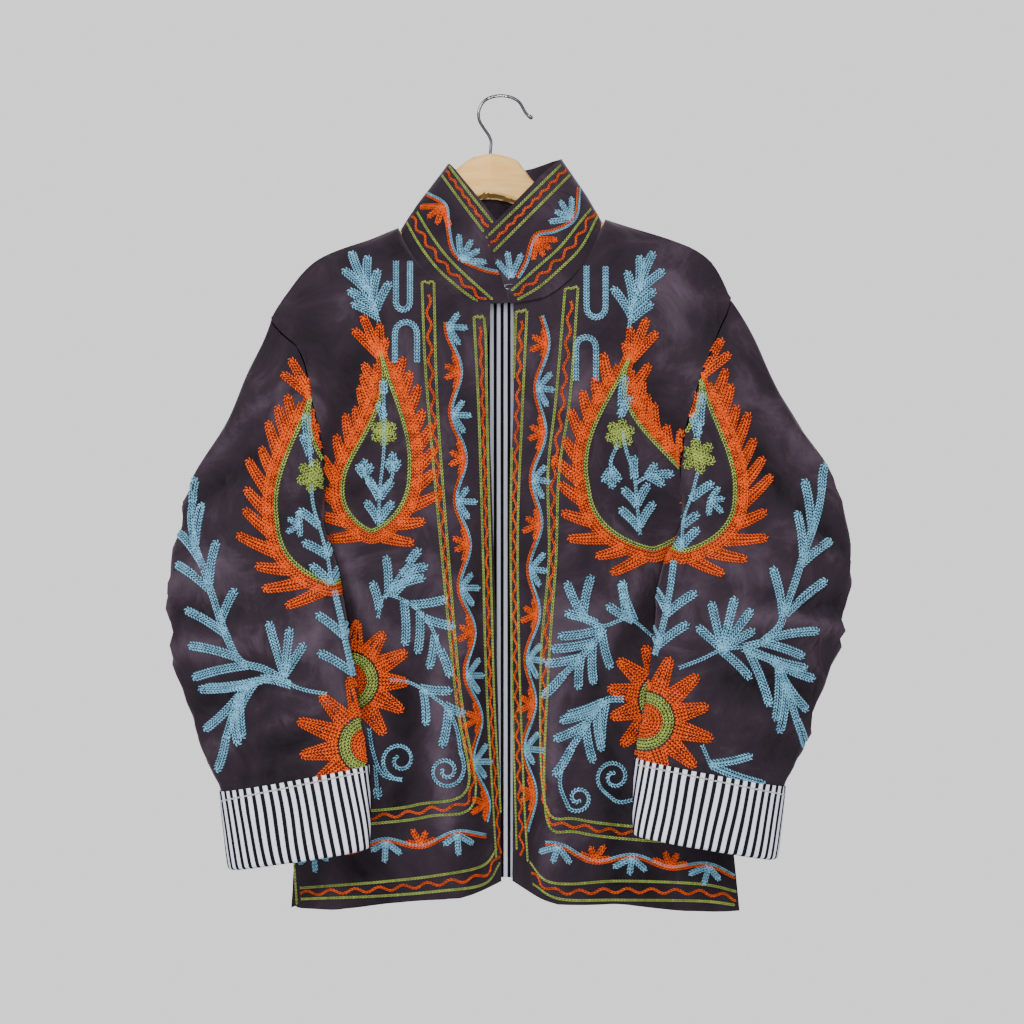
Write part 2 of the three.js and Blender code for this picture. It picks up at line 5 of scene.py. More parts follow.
import bpy
import numpy as np
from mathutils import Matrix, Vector
from mathutils.bvhtree import BVHTree


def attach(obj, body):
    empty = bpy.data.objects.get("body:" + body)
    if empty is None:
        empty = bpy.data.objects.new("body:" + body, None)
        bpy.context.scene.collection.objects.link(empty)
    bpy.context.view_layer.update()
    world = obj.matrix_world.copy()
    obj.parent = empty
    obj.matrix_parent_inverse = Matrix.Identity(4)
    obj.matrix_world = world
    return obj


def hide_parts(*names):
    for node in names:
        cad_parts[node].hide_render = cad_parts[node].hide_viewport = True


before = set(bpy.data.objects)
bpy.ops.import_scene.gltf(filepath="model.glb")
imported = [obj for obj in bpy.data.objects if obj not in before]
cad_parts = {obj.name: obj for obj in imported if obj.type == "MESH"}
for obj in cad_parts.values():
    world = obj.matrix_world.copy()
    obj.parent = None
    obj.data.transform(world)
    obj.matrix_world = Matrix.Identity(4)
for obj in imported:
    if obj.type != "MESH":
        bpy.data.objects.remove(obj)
rng = np.random.default_rng(7)

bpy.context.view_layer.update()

# Camera and eye of the embroidery chart
EYE = np.array([0.0118, -1.85, -0.426])
LENS = 63.28
SENSOR = 36.0

# The chart is a drawing plane 50 mm ahead of the hook. One unit is one millimetre there,
# with x to the right and y down.
CHART_LEFT = -0.5002
CHART_TOP = 0.086
CHART_DEPTH = -0.05

# Chain stitch, in metres
STITCH_LENGTH = 0.0033
STITCH_WIDTH = 0.0042
STITCH_HEIGHT = 0.0016

# How bright one link is at its ends, along its ridges and in its seams: painted shade at the ends and in
# the seams, where the lobes meet the cloth, and a painted highlight along the ridges
LINK_END_SHADE = 0.38
LINK_TOP_HIGHLIGHT = 1.16
LINK_EDGE_SHADE = 0.42

# How much the thread's tone drifts along a row, and how much it varies from link to link
TONE_DRIFT = 0.09
TONE_SPREAD = 0.13

# In chart units: the pitch of rows beside each other, half the width of a leaf and of a
# bud's lobe, the gap from a leaf's edge to its inner rows, and steps along a stroke
ROW_PITCH = 3.7
LEAF_HALF = 2.4
BUD_HALF = 1.6
INNER_GAP = 2.6
CHART_STEP = 1.6

# Size of a link against the full one, in leaves, stems, buds, thin lines and the cuffs' seam
LEAF_SCALE = 1.1
STEM_SCALE = 0.95
BUD_SCALE = 0.8
FINE_SCALE = 0.62
HEM_SCALE = 0.35

# A stroke breaks where the cloth is seen edge on or jumps back by more than this, in metres
EDGE_ON = 0.12
CLOTH_JUMP = 0.009

STRIPE_PERIOD = 0.0072

SUBDIVISIONS = 2


def linear(red, green, blue):
    """An sRGB colour from 0 to 255 as a linear one."""
    values = [channel / 255 for channel in (red, green, blue)]
    return tuple(v / 12.92 if v <= 0.04045 else ((v + 0.055) / 1.055) ** 2.4 for v in values)


ORANGE = linear(226, 88, 26)
BLUE = linear(122, 178, 204)
GREEN = linear(154, 172, 84)
WHITE = linear(235, 235, 240)


# Materials

def new_material(name, roughness, specular=0.5):
    material = bpy.data.materials.new(name)
    material.use_nodes = True
    shader = material.node_tree.nodes["Principled BSDF"]
    shader.inputs["Roughness"].default_value = roughness
    shader.inputs["Specular IOR Level"].default_value = specular
    return material, material.node_tree, shader


def colour_by(tree, shader, factor, stops):
    """The shader's colour follows a ramp. Each stop: its place and an sRGB colour."""
    ramp = tree.nodes.new("ShaderNodeValToRGB")
    elements = ramp.color_ramp.elements
    while len(elements) < len(stops):
        elements.new(0.5)
    for element, (at, colour) in zip(elements, stops):
        element.position = at
        element.color = (*linear(*colour), 1)
    tree.links.new(factor, ramp.inputs["Fac"])
    tree.links.new(ramp.outputs["Color"], shader.inputs["Base Color"])


def read_attribute(tree, name):
    attribute = tree.nodes.new("ShaderNodeAttribute")
    attribute.attribute_name = name
    return attribute


def object_place(tree):
    return tree.nodes.new("ShaderNodeTexCoord").outputs["Object"]


def add_noise(tree, scale, detail, coordinates):
    noise = tree.nodes.new("ShaderNodeTexNoise")
    noise.inputs["Scale"].default_value = scale
    noise.inputs["Detail"].default_value = detail
    tree.links.new(coordinates, noise.inputs["Vector"])
    return noise


def add_bump(tree, shader, height, strength, distance):
    bump = tree.nodes.new("ShaderNodeBump")
    bump.inputs["Strength"].default_value = strength
    bump.inputs["Distance"].default_value = distance
    tree.links.new(height, bump.inputs["Height"])
    tree.links.new(bump.outputs["Normal"], shader.inputs["Normal"])


def velvet_material():
    """Dark pile with lighter patches from noise, and painted sheen and painted shade that the cloth
    carries in an attribute: lighter on ridges and in sheen patches, darker in troughs and in shadowed
    spots.
    """
    material, tree, shader = new_material("velvet", 0.9, 0.15)
    place = object_place(tree)
    patches = add_noise(tree, 16, 5, place)
    patches.inputs["Distortion"].default_value = 0.8
    patches.inputs["Roughness"].default_value = 0.68
    both = tree.nodes.new("ShaderNodeMath")
    both.operation = "MULTIPLY_ADD"
    both.inputs[1].default_value = 0.6
    tree.links.new(patches.outputs["Fac"], both.inputs[0])
    # Painted sheen and painted shade from the cloth's attribute are added to the noise
    tree.links.new(read_attribute(tree, "painted_sheen_and_shade").outputs["Fac"], both.inputs[2])
    colour_by(tree, shader, both.outputs[0], [
        (0.22, (14, 11, 16)),
        (0.50, (46, 36, 45)),
        (0.78, (88, 73, 86)),
    ])
    shader.inputs["Sheen Weight"].default_value = 0.3
    shader.inputs["Sheen Roughness"].default_value = 0.4
    shader.inputs["Sheen Tint"].default_value = (*linear(190, 165, 185), 1)
    pile = add_noise(tree, 260, 3, place)
    add_bump(tree, shader, pile.outputs["Fac"], 0.35, 0.0012)
    return material


def thread_material():
    material, tree, shader = new_material("thread", 0.75, 0.12)
    # The thread's colour, with painted shade and painted highlight baked in
    colour = read_attribute(tree, "thread_colour_and_painted_shade")
    tree.links.new(colour.outputs["Color"], shader.inputs["Base Color"])
    return material


def striped_material():
    """Dark and white stripes, one pair to each whole number of the cloth's `stripe`."""
    material, tree, shader = new_material("striped_cotton", 0.85, 0.2)
    fraction = tree.nodes.new("ShaderNodeMath")
    fraction.operation = "FRACT"
    tree.links.new(read_attribute(tree, "stripe").outputs["Fac"], fraction.inputs[0])
    dark = (10, 10, 17)
    light = (236, 238, 255)
    colour_by(tree, shader, fraction.outputs[0], [
        (0.0, dark), (0.41, dark), (0.47, light), (0.94, light), (1.0, dark),
    ])
    weave = add_noise(tree, 900, 2, object_place(tree))
    add_bump(tree, shader, weave.outputs["Fac"], 0.2, 0.0004)
    return material


def wood_material():
    material, tree, shader = new_material("beech", 0.5, 0.2)
    stretch = tree.nodes.new("ShaderNodeMapping")
    stretch.inputs["Scale"].default_value = (6, 40, 160)
    tree.links.new(object_place(tree), stretch.inputs["Vector"])
    grain = add_noise(tree, 1.5, 4, stretch.outputs["Vector"])
    colour_by(tree, shader, grain.outputs["Fac"], [(0.3, (246, 184, 104)), (0.7, (255, 214, 138))])
    return material


def chrome_material():
    material, _, shader = new_material("chrome", 0.2)
    shader.inputs["Base Color"].default_value = (*linear(118, 118, 122), 1)
    shader.inputs["Metallic"].default_value = 1.0
    return material


VELVET = velvet_material()
THREAD = thread_material()
STRIPED = striped_material()
BEECH = wood_material()
CHROME = chrome_material()


# Cloth: the CAD node's wall, as quads, subdivided and then creased

def welded(node):
    """Points and faces of a CAD node, with its triangles joined in pairs."""
    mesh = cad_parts[node].data
    mesh.calc_loop_triangles()
    points = np.empty(len(mesh.vertices) * 3)
    mesh.vertices.foreach_get("co", points)
    triangles = np.empty(len(mesh.loop_triangles) * 3, int)
    mesh.loop_triangles.foreach_get("vertices", triangles)
    points = points.reshape(-1, 3)
    keys = np.round(points * 1e6).astype(np.int64)
    _, first, same = np.unique(keys, axis=0, return_index=True, return_inverse=True)
    points = points[first]
    triangles = same.reshape(-1)[triangles].reshape(-1, 3)
    return points, paired(triangles)


def paired(triangles):
    """Each two triangles in a row that share an edge as one quad."""
    faces = []
    i = 0
    while i < len(triangles):
        one = [int(v) for v in triangles[i]]
        two = [int(v) for v in triangles[i + 1]] if i + 1 < len(triangles) else []
        shared = [v for v in one if v in two]
        if len(shared) == 2:
            lone = next(v for v in one if v not in shared)
            other = next(v for v in two if v not in shared)
            k = one.index(lone)
            faces.append([one[k], one[(k + 1) % 3], other, one[(k + 2) % 3]])
            i += 2
        else:
            faces.append(one)
            i += 1
    return faces


def sharp_edges(mesh, limit_degrees):
    """For each edge, whether its two faces bend by more than the limit."""
    normals = {}
    for polygon in mesh.polygons:
        for key in polygon.edge_keys:
            normals.setdefault(key, []).append(polygon.normal)
    limit = math.cos(math.radians(limit_degrees))
    flags = np.zeros(len(mesh.edges), bool)
    for edge in mesh.edges:
        pair = normals.get(edge.key, [])
        flags[edge.index] = len(pair) == 2 and pair[0].dot(pair[1]) < limit
    return flags


def mark_rims(mesh, limit_degrees):
    """Edges with a sharper bend than the limit stay sharp when the mesh is subdivided."""
    flags = sharp_edges(mesh, limit_degrees)
    creases = mesh.attributes.new("crease_edge", "FLOAT", "EDGE")
    creases.data.foreach_set("value", flags.astype(np.float32))


def subdivided(node, name, limit_degrees=60):
    points, faces = welded(node)
    mesh = bpy.data.meshes.new(name + "_coarse")
    mesh.from_pydata(points.tolist(), [], faces)
    mesh.update()
    mark_rims(mesh, limit_degrees)
    coarse = bpy.data.objects.new(name + "_coarse", mesh)
    bpy.context.scene.collection.objects.link(coarse)
    modifier = coarse.modifiers.new("Subdivision", "SUBSURF")
    modifier.levels = SUBDIVISIONS
    modifier.render_levels = SUBDIVISIONS
    graph = bpy.context.evaluated_depsgraph_get()
    fine = bpy.data.meshes.new_from_object(coarse.evaluated_get(graph))
    bpy.data.objects.remove(coarse)
    fine.name = name
    return fine


def read_points(mesh):
    points = np.empty(len(mesh.vertices) * 3)
    mesh.vertices.foreach_get("co", points)
    return points.reshape(-1, 3)


def write_points(mesh, points):
    mesh.vertices.foreach_set("co", points.astype(np.float32).ravel())
    mesh.update()


def share_past(value, start, reach):
    """0 up to `start`, from there up to 1 over `reach`."""
    return np.clip((value - start) / reach, 0, 1)


# Every crease is drawn this much narrower and higher than its row says, and wanders to the
# sides by this share of its width
CREASE_SPREAD = 0.75
CREASE_RISE = 1.65
CREASE_WANDER = 0.35

# Light and dark patches of the pile on the front, which are painted sheen and painted shade, such as the
# painted shadow beside the armholes and the darker hem: x z radius amount, in millimetres
SHEEN_AND_SHADE_SPOTS = [
    (-175, -204, 60, -0.05), (-100, -190, 60, -0.06), (180, -204, 60, -0.01), (110, -190, 60, -0.05),
    (-160, -795, 70, -0.16), (-60, -800, 40, -0.06), (190, -775, 70, -0.20), (90, -800, 50, -0.08),
    (-230, -665, 60, -0.14), (-290, -374, 60, -0.04), (285, -364, 60, -0.02), (228, -650, 22, 0.10),
    (240, -634, 60, -0.14), (180, -204, 40, 0.14), (-100, -560, 60, 0.03), (95, -640, 40, 0.05),
    (-195, -560, 14, 0.18), (240, -500, 40, 0.08), (-192, -225, 24, -0.10), (-188, -262, 22, -0.10),
    (206, -190, 24, -0.08), (204, -230, 24, -0.10), (200, -268, 22, -0.08), (-245, -290, 50, -0.03),
    (255, -290, 50, -0.03), (-300, -500, 30, 0.05),
]
# Painted sheen and shade: their middle value, and how much lighter on ridges and darker in troughs they
# get per millimetre of crease
SHEEN_AND_SHADE_MIDDLE = 0.2
CREASE_SHEEN_AND_SHADE_PER_MILLIMETRE = 0.02


def add_painted_sheen_and_shade(mesh, points, amount):
    """How light the pile looks, as painted light: painted sheen on ridges, painted shade in troughs, and
    painted sheen and shade in soft patches.
    """
    x = points[:, 0] * 1000
    z = points[:, 2] * 1000
    painted_sheen_and_shade = SHEEN_AND_SHADE_MIDDLE + CREASE_SHEEN_AND_SHADE_PER_MILLIMETRE * amount
    for x0, z0, radius, light in SHEEN_AND_SHADE_SPOTS:
        painted_sheen_and_shade = painted_sheen_and_shade + light * np.exp(-((x - x0) ** 2 + (z - z0) ** 2) / radius ** 2)
    attribute = mesh.attributes.new("painted_sheen_and_shade", "FLOAT", "POINT")
    attribute.data.foreach_set("value", painted_sheen_and_shade.astype(np.float32))


def crease_amount(points, creases):
    """Sum of soft troughs and ridges in millimetres. Each: x0 z0 x1 z1 width height."""
    x = points[:, 0] * 1000
    z = points[:, 2] * 1000
    total = np.zeros(len(points))
    for x0, z0, x1, z1, width, height in creases:
        width = width * CREASE_SPREAD
        dx = x1 - x0
        dz = z1 - z0
        length = math.hypot(dx, dz)
        along = ((x - x0) * dx + (z - z0) * dz) / length ** 2
        off = ((x - x0) * dz - (z - z0) * dx) / length
        off = off + width * CREASE_WANDER * np.sin(along * 5.0 + x0)
        ends = np.clip(along, 0, 1)
        beyond = (along - ends) * length / width
        swell = 0.65 + 0.35 * np.sin(3.1 * along + 1)
        total += CREASE_RISE * height * np.exp(-(off / width) ** 2 - beyond ** 2) * swell
    return total


# Number of the soft waves on a cloth, and their shortest and longest length in millimetres
WAVES = 6
WAVE_LENGTHS = (45, 110)


def soft_waves(points, seed, size):
    """Low uneven waves in millimetres, about `size` high."""
    local = np.random.default_rng(seed)
    total = np.zeros(len(points))
    for _ in range(WAVES):
        angle = local.uniform(0, math.tau)
        length = local.uniform(*WAVE_LENGTHS)
        phase = local.uniform(0, math.tau)
        way = points[:, 0] * 1000 * math.cos(angle) + points[:, 2] * 1000 * math.sin(angle) * 0.6
        total += np.sin(way / length * math.tau + phase)
    return total * size / 3


def finished(mesh, name, node, material):
    mesh.materials.clear()
    mesh.materials.append(material)
    mesh.polygons.foreach_set("use_smooth", np.ones(len(mesh.polygons), bool))
    piece = bpy.data.objects.new(name, mesh)
    bpy.context.scene.collection.objects.link(piece)
    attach(piece, "root")
    if node:
        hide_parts(node)
    return piece


def sharpen(piece, degrees=50):
    """Sharp shading at rims only."""
    mesh = piece.data
    flags = sharp_edges(mesh, degrees)
    sharp = mesh.attributes.get("sharp_edge") or mesh.attributes.new("sharp_edge", "BOOLEAN", "EDGE")
    sharp.data.foreach_set("value", flags)


def tree_of(mesh):
    points = read_points(mesh)
    return BVHTree.FromPolygons(points.tolist(), [list(p.vertices) for p in mesh.polygons])


# Creases: x0 z0 x1 z1 width height, in millimetres, ridges above zero

FRONT_LEFT_CREASES = [
    (-150, -190, -205, -330, 16, 3.5),
    (-120, -200, -190, -420, 18, -4.0),
    (-90, -260, -60, -520, 22, 3.0),
    (-190, -430, -120, -560, 18, 4.0),
    (-185, -480, -90, -640, 20, -4.5),
    (-60, -560, -50, -800, 16, 4.5),
    (-100, -600, -110, -820, 18, -5.0),
    (-150, -640, -165, -820, 16, 5.0),
    (-20, -500, -22, -800, 9, -3.0),
    (-40, -240, -30, -420, 10, -2.0),
]
FRONT_RIGHT_CREASES = [
    (150, -180, 205, -320, 16, 3.5),
    (110, -190, 185, -400, 18, -4.0),
    (85, -260, 62, -520, 22, 3.0),
    (190, -420, 110, -560, 18, 4.0),
    (190, -470, 90, -630, 20, -4.5),
    (60, -560, 46, -800, 16, 4.5),
    (100, -600, 120, -820, 18, -5.0),
    (160, -640, 180, -820, 16, 5.0),
    (30, -500, 32, -800, 9, -3.0),
    (45, -240, 36, -420, 10, -2.0),
]
BACK_CREASES = [
    (-170, -200, -120, -420, 22, 5.0),
    (170, -190, 120, -420, 22, 5.0),
    (-195, -420, -110, -560, 20, -5.0),
    (200, -410, 120, -560, 20, -5.0),
    (-60, -300, -40, -800, 26, 4.0),
    (70, -300, 50, -800, 26, 4.0),
    (0, -260, 10, -780, 22, -4.0),
    (-130, -560, -150, -820, 20, 5.0),
    (140, -560, 165, -820, 20, 5.0),
    (-100, -640, -100, -820, 16, -4.0),
    (110, -640, 110, -820, 16, -4.0),
]
SLEEVE_LEFT_CREASES = [
    (-325, -430, -215, -345, 12, -5.0),
    (-310, -400, -235, -320, 12, 4.0),
    (-328, -500, -250, -470, 14, 4.0),
    (-330, -530, -230, -520, 12, -5.0),
    (-322, -560, -200, -560, 14, 4.5),
    (-210, -300, -225, -400, 12, 3.0),
    (-300, -620, -170, -560, 14, -4.5),
    (-285, -660, -150, -610, 12, 4.0),
    (-250, -380, -180, -470, 14, -3.5),
    (-200, -480, -160, -600, 14, 3.0),
    (-290, -690, -140, -660, 8, 3.0),
]
SLEEVE_RIGHT_CREASES = [
    (345, -470, 225, -330, 12, -5.0),
    (330, -400, 245, -300, 12, 4.0),
    (350, -480, 270, -430, 14, 4.0),
    (345, -520, 215, -500, 12, -5.5),
    (342, -545, 210, -525, 12, 5.0),
    (212, -290, 232, -390, 12, 3.0),
    (325, -610, 180, -560, 14, -4.5),
    (305, -650, 160, -600, 12, 4.0),
    (260, -370, 190, -460, 14, -3.5),
    (210, -470, 170, -590, 14, 3.0),
    (295, -685, 150, -655, 8, 3.0),
]


# A body panel's creases start this far below the hook, and grow over this height. Above the
# underarm they fade again towards the armhole, from this distance off the middle. Metres.
BODY_MIDDLE = 0.005
CREASES_BELOW = 0.19
CREASES_GROW = 0.12
UNDERARM_HEIGHT = -0.5
ARMHOLE_FROM = 0.165
ARMHOLE_FADE = 0.03


def panel_cloth(node, creases, seed, ahead, wave):
    """A body panel: its creases stand out along Y, and fade at the shoulder seam."""
    mesh = subdivided(node, node + "_cloth")
    points = read_points(mesh)
    amount = crease_amount(points, creases) + soft_waves(points, seed, wave)
    fade = share_past(-points[:, 2], CREASES_BELOW, CREASES_GROW)
    near_armhole = share_past(np.abs(points[:, 0] - BODY_MIDDLE), ARMHOLE_FROM, ARMHOLE_FADE)
    side = 1 - near_armhole * (points[:, 2] > UNDERARM_HEIGHT)
    # Painted sheen on the panel's ridges and painted shade in its troughs
    add_painted_sheen_and_shade(mesh, points, amount * fade)
    points[:, 1] += ahead * amount * fade * side * 0.001
    write_points(mesh, points)
    return mesh


# The collar's axis, in metres. Its foot is lengthened in sectors, so many to a radian.
COLLAR_AXIS = np.array([0.005, -0.02])
COLLAR_SECTORS = 12
COLLAR_FOOT = 0.022
COLLAR_DROP = 0.0045
COLLAR_GROWTH = 0.012


def collar_cloth():
    """The collar's foot reaches down over the neck seam, and it is a little wider."""
    mesh = subdivided("collar", "collar_cloth")
    points = read_points(mesh)
    away = points[:, :2] - COLLAR_AXIS
    sectors = np.round(np.arctan2(away[:, 0], -away[:, 1]) * COLLAR_SECTORS).astype(int)
    for sector in np.unique(sectors):
        here = sectors == sector
        low = points[here, 2].min()
        share = np.clip(1 - (points[here, 2] - low) / COLLAR_FOOT, 0, 1)
        points[here, 2] -= COLLAR_DROP * share
    points[:, :2] += away * COLLAR_GROWTH
    # Painted sheen and painted shade over the collar's soft waves
    add_painted_sheen_and_shade(mesh, points, soft_waves(points, 31, 2.0))
    write_points(mesh, points)
    return mesh


# Sleeve axis: x y z from the shoulder down to the cuff, in millimetres
SLEEVE_AXES = {
    "left": [
        (-205, -45, -300), (-215, -50, -400), (-235, -58, -500),
        (-232, -62, -600), (-205, -68, -700), (-200, -70, -790),
    ],
    "right": [
        (215, -45, -290), (230, -50, -400), (252, -58, -500),
        (245, -62, -590), (210, -68, -690), (205, -70, -780),
    ],
}


def away_from_axis(points, axis):
    """Unit vectors off the sleeve's axis, mostly along Y because the sleeve is flat."""
    rows = np.array(axis) / 1000
    order = np.argsort(rows[:, 2])
    height = rows[order, 2]
    centre_x = np.interp(points[:, 2], height, rows[order, 0])
    centre_y = np.interp(points[:, 2], height, rows[order, 1])
    sideways = (points[:, 0] - centre_x) * 0.25
    away = np.stack([sideways, points[:, 1] - centre_y, np.zeros(len(points))], 1)
    return away / np.maximum(np.linalg.norm(away, axis=1, keepdims=True), 1e-6)


# What lies behind this depth is the sleeve's rear, where the same creases are lower and
# weaker. They fade towards the body above the underarm, and towards the cuff. Metres.
REAR_DEPTH = -0.055
REAR_LOWER = 0.018
REAR_SHARE = 0.8
BODY_SIDE = 0.185
BODY_FADE = 0.03
CUFF_TOP = -0.70
CUFF_FADE = 0.05


def sleeve_cloth(side, creases, seed):
    node = "sleeve_" + side
    mesh = subdivided(node, node + "_cloth")
    points = read_points(mesh)
    behind = points[:, 1] > REAR_DEPTH
    raised = points.copy()
    raised[:, 2] += REAR_LOWER
    rear = crease_amount(raised, creases) * REAR_SHARE
    amount = np.where(behind, rear, crease_amount(points, creases))
    amount = amount + soft_waves(points, seed, 1.2)
    off_body = share_past(np.abs(points[:, 0]), BODY_SIDE, BODY_FADE)
    fade = np.where(points[:, 2] > UNDERARM_HEIGHT, off_body, 1.0)
    fade = fade * share_past(points[:, 2], CUFF_TOP, CUFF_FADE)
    # Painted sheen on the sleeve's ridges and painted shade in its troughs
    add_painted_sheen_and_shade(mesh, points, amount * fade)
    points += away_from_axis(points, SLEEVE_AXES[side]) * (amount * fade * 0.001)[:, None]
    close_underarm(points, side)
    write_points(mesh, points)
    return mesh


# Height and half height of the underarm, the sleeve's inner edge and front there, and how far
# it is tucked in and brought forward. The elbow, farther out, swells a little. Metres.
UNDERARM_MIDDLE = -0.470
UNDERARM_REACH = 0.045
INNER_EDGE = 0.215
INNER_REACH = 0.035
FRONT_DEPTH = 0.040
FRONT_REACH = 0.02
TUCK_IN = 0.016
TUCK_FORWARD = 0.006
ELBOW_FROM = 0.28
ELBOW_REACH = 0.04
ELBOW_OUT = 0.003


def close_underarm(points, side):
    """The sleeve's inner edge lies over the side seam below the underarm."""
    sign = -1 if side == "left" else 1
    height = np.exp(-((points[:, 2] - UNDERARM_MIDDLE) / UNDERARM_REACH) ** 2)
    inner = share_past(-sign * points[:, 0], -INNER_EDGE, INNER_REACH)
    front = share_past(-points[:, 1], FRONT_DEPTH, FRONT_REACH)
    move = height * inner * front
    points[:, 0] -= sign * TUCK_IN * move
    points[:, 1] -= TUCK_FORWARD * move
    elbow = share_past(sign * points[:, 0], ELBOW_FROM, ELBOW_REACH)
    points[:, 0] += sign * ELBOW_OUT * elbow


def add_stripes(mesh, across):
    attribute = mesh.attributes.new("stripe", "FLOAT", "POINT")
    attribute.data.foreach_set("value", (across / STRIPE_PERIOD).astype(np.float32))


# Cuff: the line between its outer and inner top corners, x z in millimetres
CUFF_LINES = {"left": ((-281, -704), (-128, -674)), "right": ((132, -667), (286, -699))}
CUFF_OUT_Y = -0.056
CUFF_IN_Y = -0.084

# How strongly the stripes follow the cuff round its ends
CUFF_WRAP = 1.2

# Creases of a cuff, measured from its first corner: x0 z0 x1 z1 width height, in millimetres
CUFF_CREASES = [
    (30, -15, 60, -65, 9, 1.6),
    (80, 0, 70, -60, 10, -1.5),
    (120, 5, 128, -50, 9, 1.4),
]


def cuff_cloth(side):
    node = "cuff_" + side
    mesh = subdivided(node, node + "_cloth")
    points = read_points(mesh)
    (x0, z0), (x1, z1) = np.array(CUFF_LINES[side]) / 1000
    width = math.hypot(x1 - x0, z1 - z0)
    across = ((points[:, 0] - x0) * (x1 - x0) + (points[:, 2] - z0) * (z1 - z0)) / width
    share = np.clip(across / width, 0, 1)
    out_share = share if side == "right" else 1 - share
    centre_y = CUFF_IN_Y + (CUFF_OUT_Y - CUFF_IN_Y) * out_share
    stripes = across + (share - 0.5) * CUFF_WRAP * (points[:, 1] - centre_y)
    stripes += soft_waves(points, 40, 0.0008)
    corner = np.array([x0, z0, x0, z0, 0, 0]) * 1000
    amount = crease_amount(points, corner + np.array(CUFF_CREASES)) + soft_waves(points, 70, 0.5)
    points[:, 1] -= amount * 0.001
    write_points(mesh, points)
    add_stripes(mesh, stripes)
    return mesh


# Embroidery. A stroke is a list of chart points, and chain stitch follows it over the cloth.

class Needlework:
    """Chain stitches on one cloth, seen from an eye in front of it or behind it."""

    def __init__(self, name, mesh):
        self.name = name
        self.tree = tree_of(mesh)
        self.side = 1
        self.runs = []

    def cast(self, chart):
        eye = EYE * np.array([1, self.side, 1])
        target = np.array([
            CHART_LEFT + chart[0] * 0.001,
            CHART_DEPTH * self.side,
            CHART_TOP - chart[1] * 0.001,
        ])
        way = Vector(target - eye).normalized()
        place, normal, _, _ = self.tree.ray_cast(Vector(eye), way)
        if place is None or abs(normal.dot(way)) < EDGE_ON:
            return None
        if normal.dot(way) > 0:
            normal = -normal
        return np.array(place), np.array(normal)

    def row(self, stroke, colour, scale=1.0):
        """One row of stitches along a stroke. It stops where the cloth ends or jumps back."""
        run = []
        for chart in densified(stroke, CHART_STEP):
            hit = self.cast(chart)
            if hit is None or (run and np.linalg.norm(hit[0] - run[-1][0]) > CLOTH_JUMP):
                self.sew(run, colour, scale)
                run = []
            if hit is not None:
                run.append(hit)
        self.sew(run, colour, scale)

    def sew(self, run, colour, scale):
        if len(run) < 2:
            return
        places = np.array([place for place, _ in run])
        normals = np.array([normal for _, normal in run])
        steps = np.linalg.norm(np.diff(places, axis=0), axis=1)
        reach = np.concatenate([[0], np.cumsum(steps)])
        count = max(1, int(round(reach[-1] / STITCH_LENGTH)))
        marks = np.linspace(0, reach[-1], count + 1)
        spots = at_marks(marks, reach, places)
        leans = at_marks(marks, reach, normals)
        self.runs.append((spots[:-1], np.diff(spots, axis=0), leans[:-1],
                          np.tile(colour, (count, 1)), np.full(count, scale)))

    def rows(self, stroke, colour, offsets, scale=1.0):
        """Parallel rows beside a stroke, at offsets in chart units."""
        for offset in offsets:
            self.row(shifted(stroke, offset), colour, scale)

    def build(self):
        """All stitches as one mesh, each link a little lighter or darker than the last."""
        places, tangents, normals, colours, scales = (np.concatenate(part) for part in zip(*self.runs))
        forward = unit_rows(tangents)
        side = unit_rows(np.cross(normals, forward))
        up = np.cross(forward, side)
        shape, painted_shades, triangles = link_shape()
        points = (
            places[:, None, :]
            + shape[None, :, 0:1] * tangents[:, None, :]
            + shape[None, :, 1:2] * side[:, None, :] * STITCH_WIDTH * scales[:, None, None]
            + shape[None, :, 2:3] * up[:, None, :] * STITCH_HEIGHT * scales[:, None, None]
        )
        count = len(places)
        faces = triangles[None, :, :] + (np.arange(count) * len(shape))[:, None, None]
        mesh = triangle_mesh(self.name, points.reshape(-1, 3), faces.reshape(-1, 3))
        drift = 1 + TONE_DRIFT * np.sin(np.arange(count) / 7.0)
        twist = np.clip(rng.normal(1.0, TONE_SPREAD, count) * drift, 0.6, 1.4)
        # Painted shade at the ends and seams of each link and a painted highlight on its ridges, over the
        # thread's own colour
        colours_with_painted_shade = colours[:, None, :] * twist[:, None, None] * painted_shades[None, :, None]
        colours_with_painted_shade = np.clip(colours_with_painted_shade, 0, 1).reshape(-1, 3)
        colours_with_painted_shade = np.concatenate([colours_with_painted_shade, np.ones((len(colours_with_painted_shade), 1))], 1)
        attribute = mesh.attributes.new("thread_colour_and_painted_shade", "FLOAT_COLOR", "POINT")
        attribute.data.foreach_set("color", colours_with_painted_shade.astype(np.float32).ravel())
        return finished(mesh, self.name, None, THREAD)


def triangle_mesh(name, points, triangles):
    mesh = bpy.data.meshes.new(name)
    mesh.vertices.add(len(points))
    mesh.vertices.foreach_set("co", points.astype(np.float32).ravel())
    mesh.loops.add(len(triangles) * 3)
    mesh.loops.foreach_set("vertex_index", triangles.astype(np.int32).ravel())
    mesh.polygons.add(len(triangles))
    mesh.polygons.foreach_set("loop_start", np.arange(0, len(triangles) * 3, 3, dtype=np.int32))
    mesh.update(calc_edges=True)
    mesh.validate()
    return mesh


def at_marks(marks, reach, values):
    return np.stack([np.interp(marks, reach, values[:, k]) for k in range(values.shape[1])], 1)


def unit_rows(vectors):
    return vectors / np.maximum(np.linalg.norm(vectors, axis=1, keepdims=True), 1e-9)


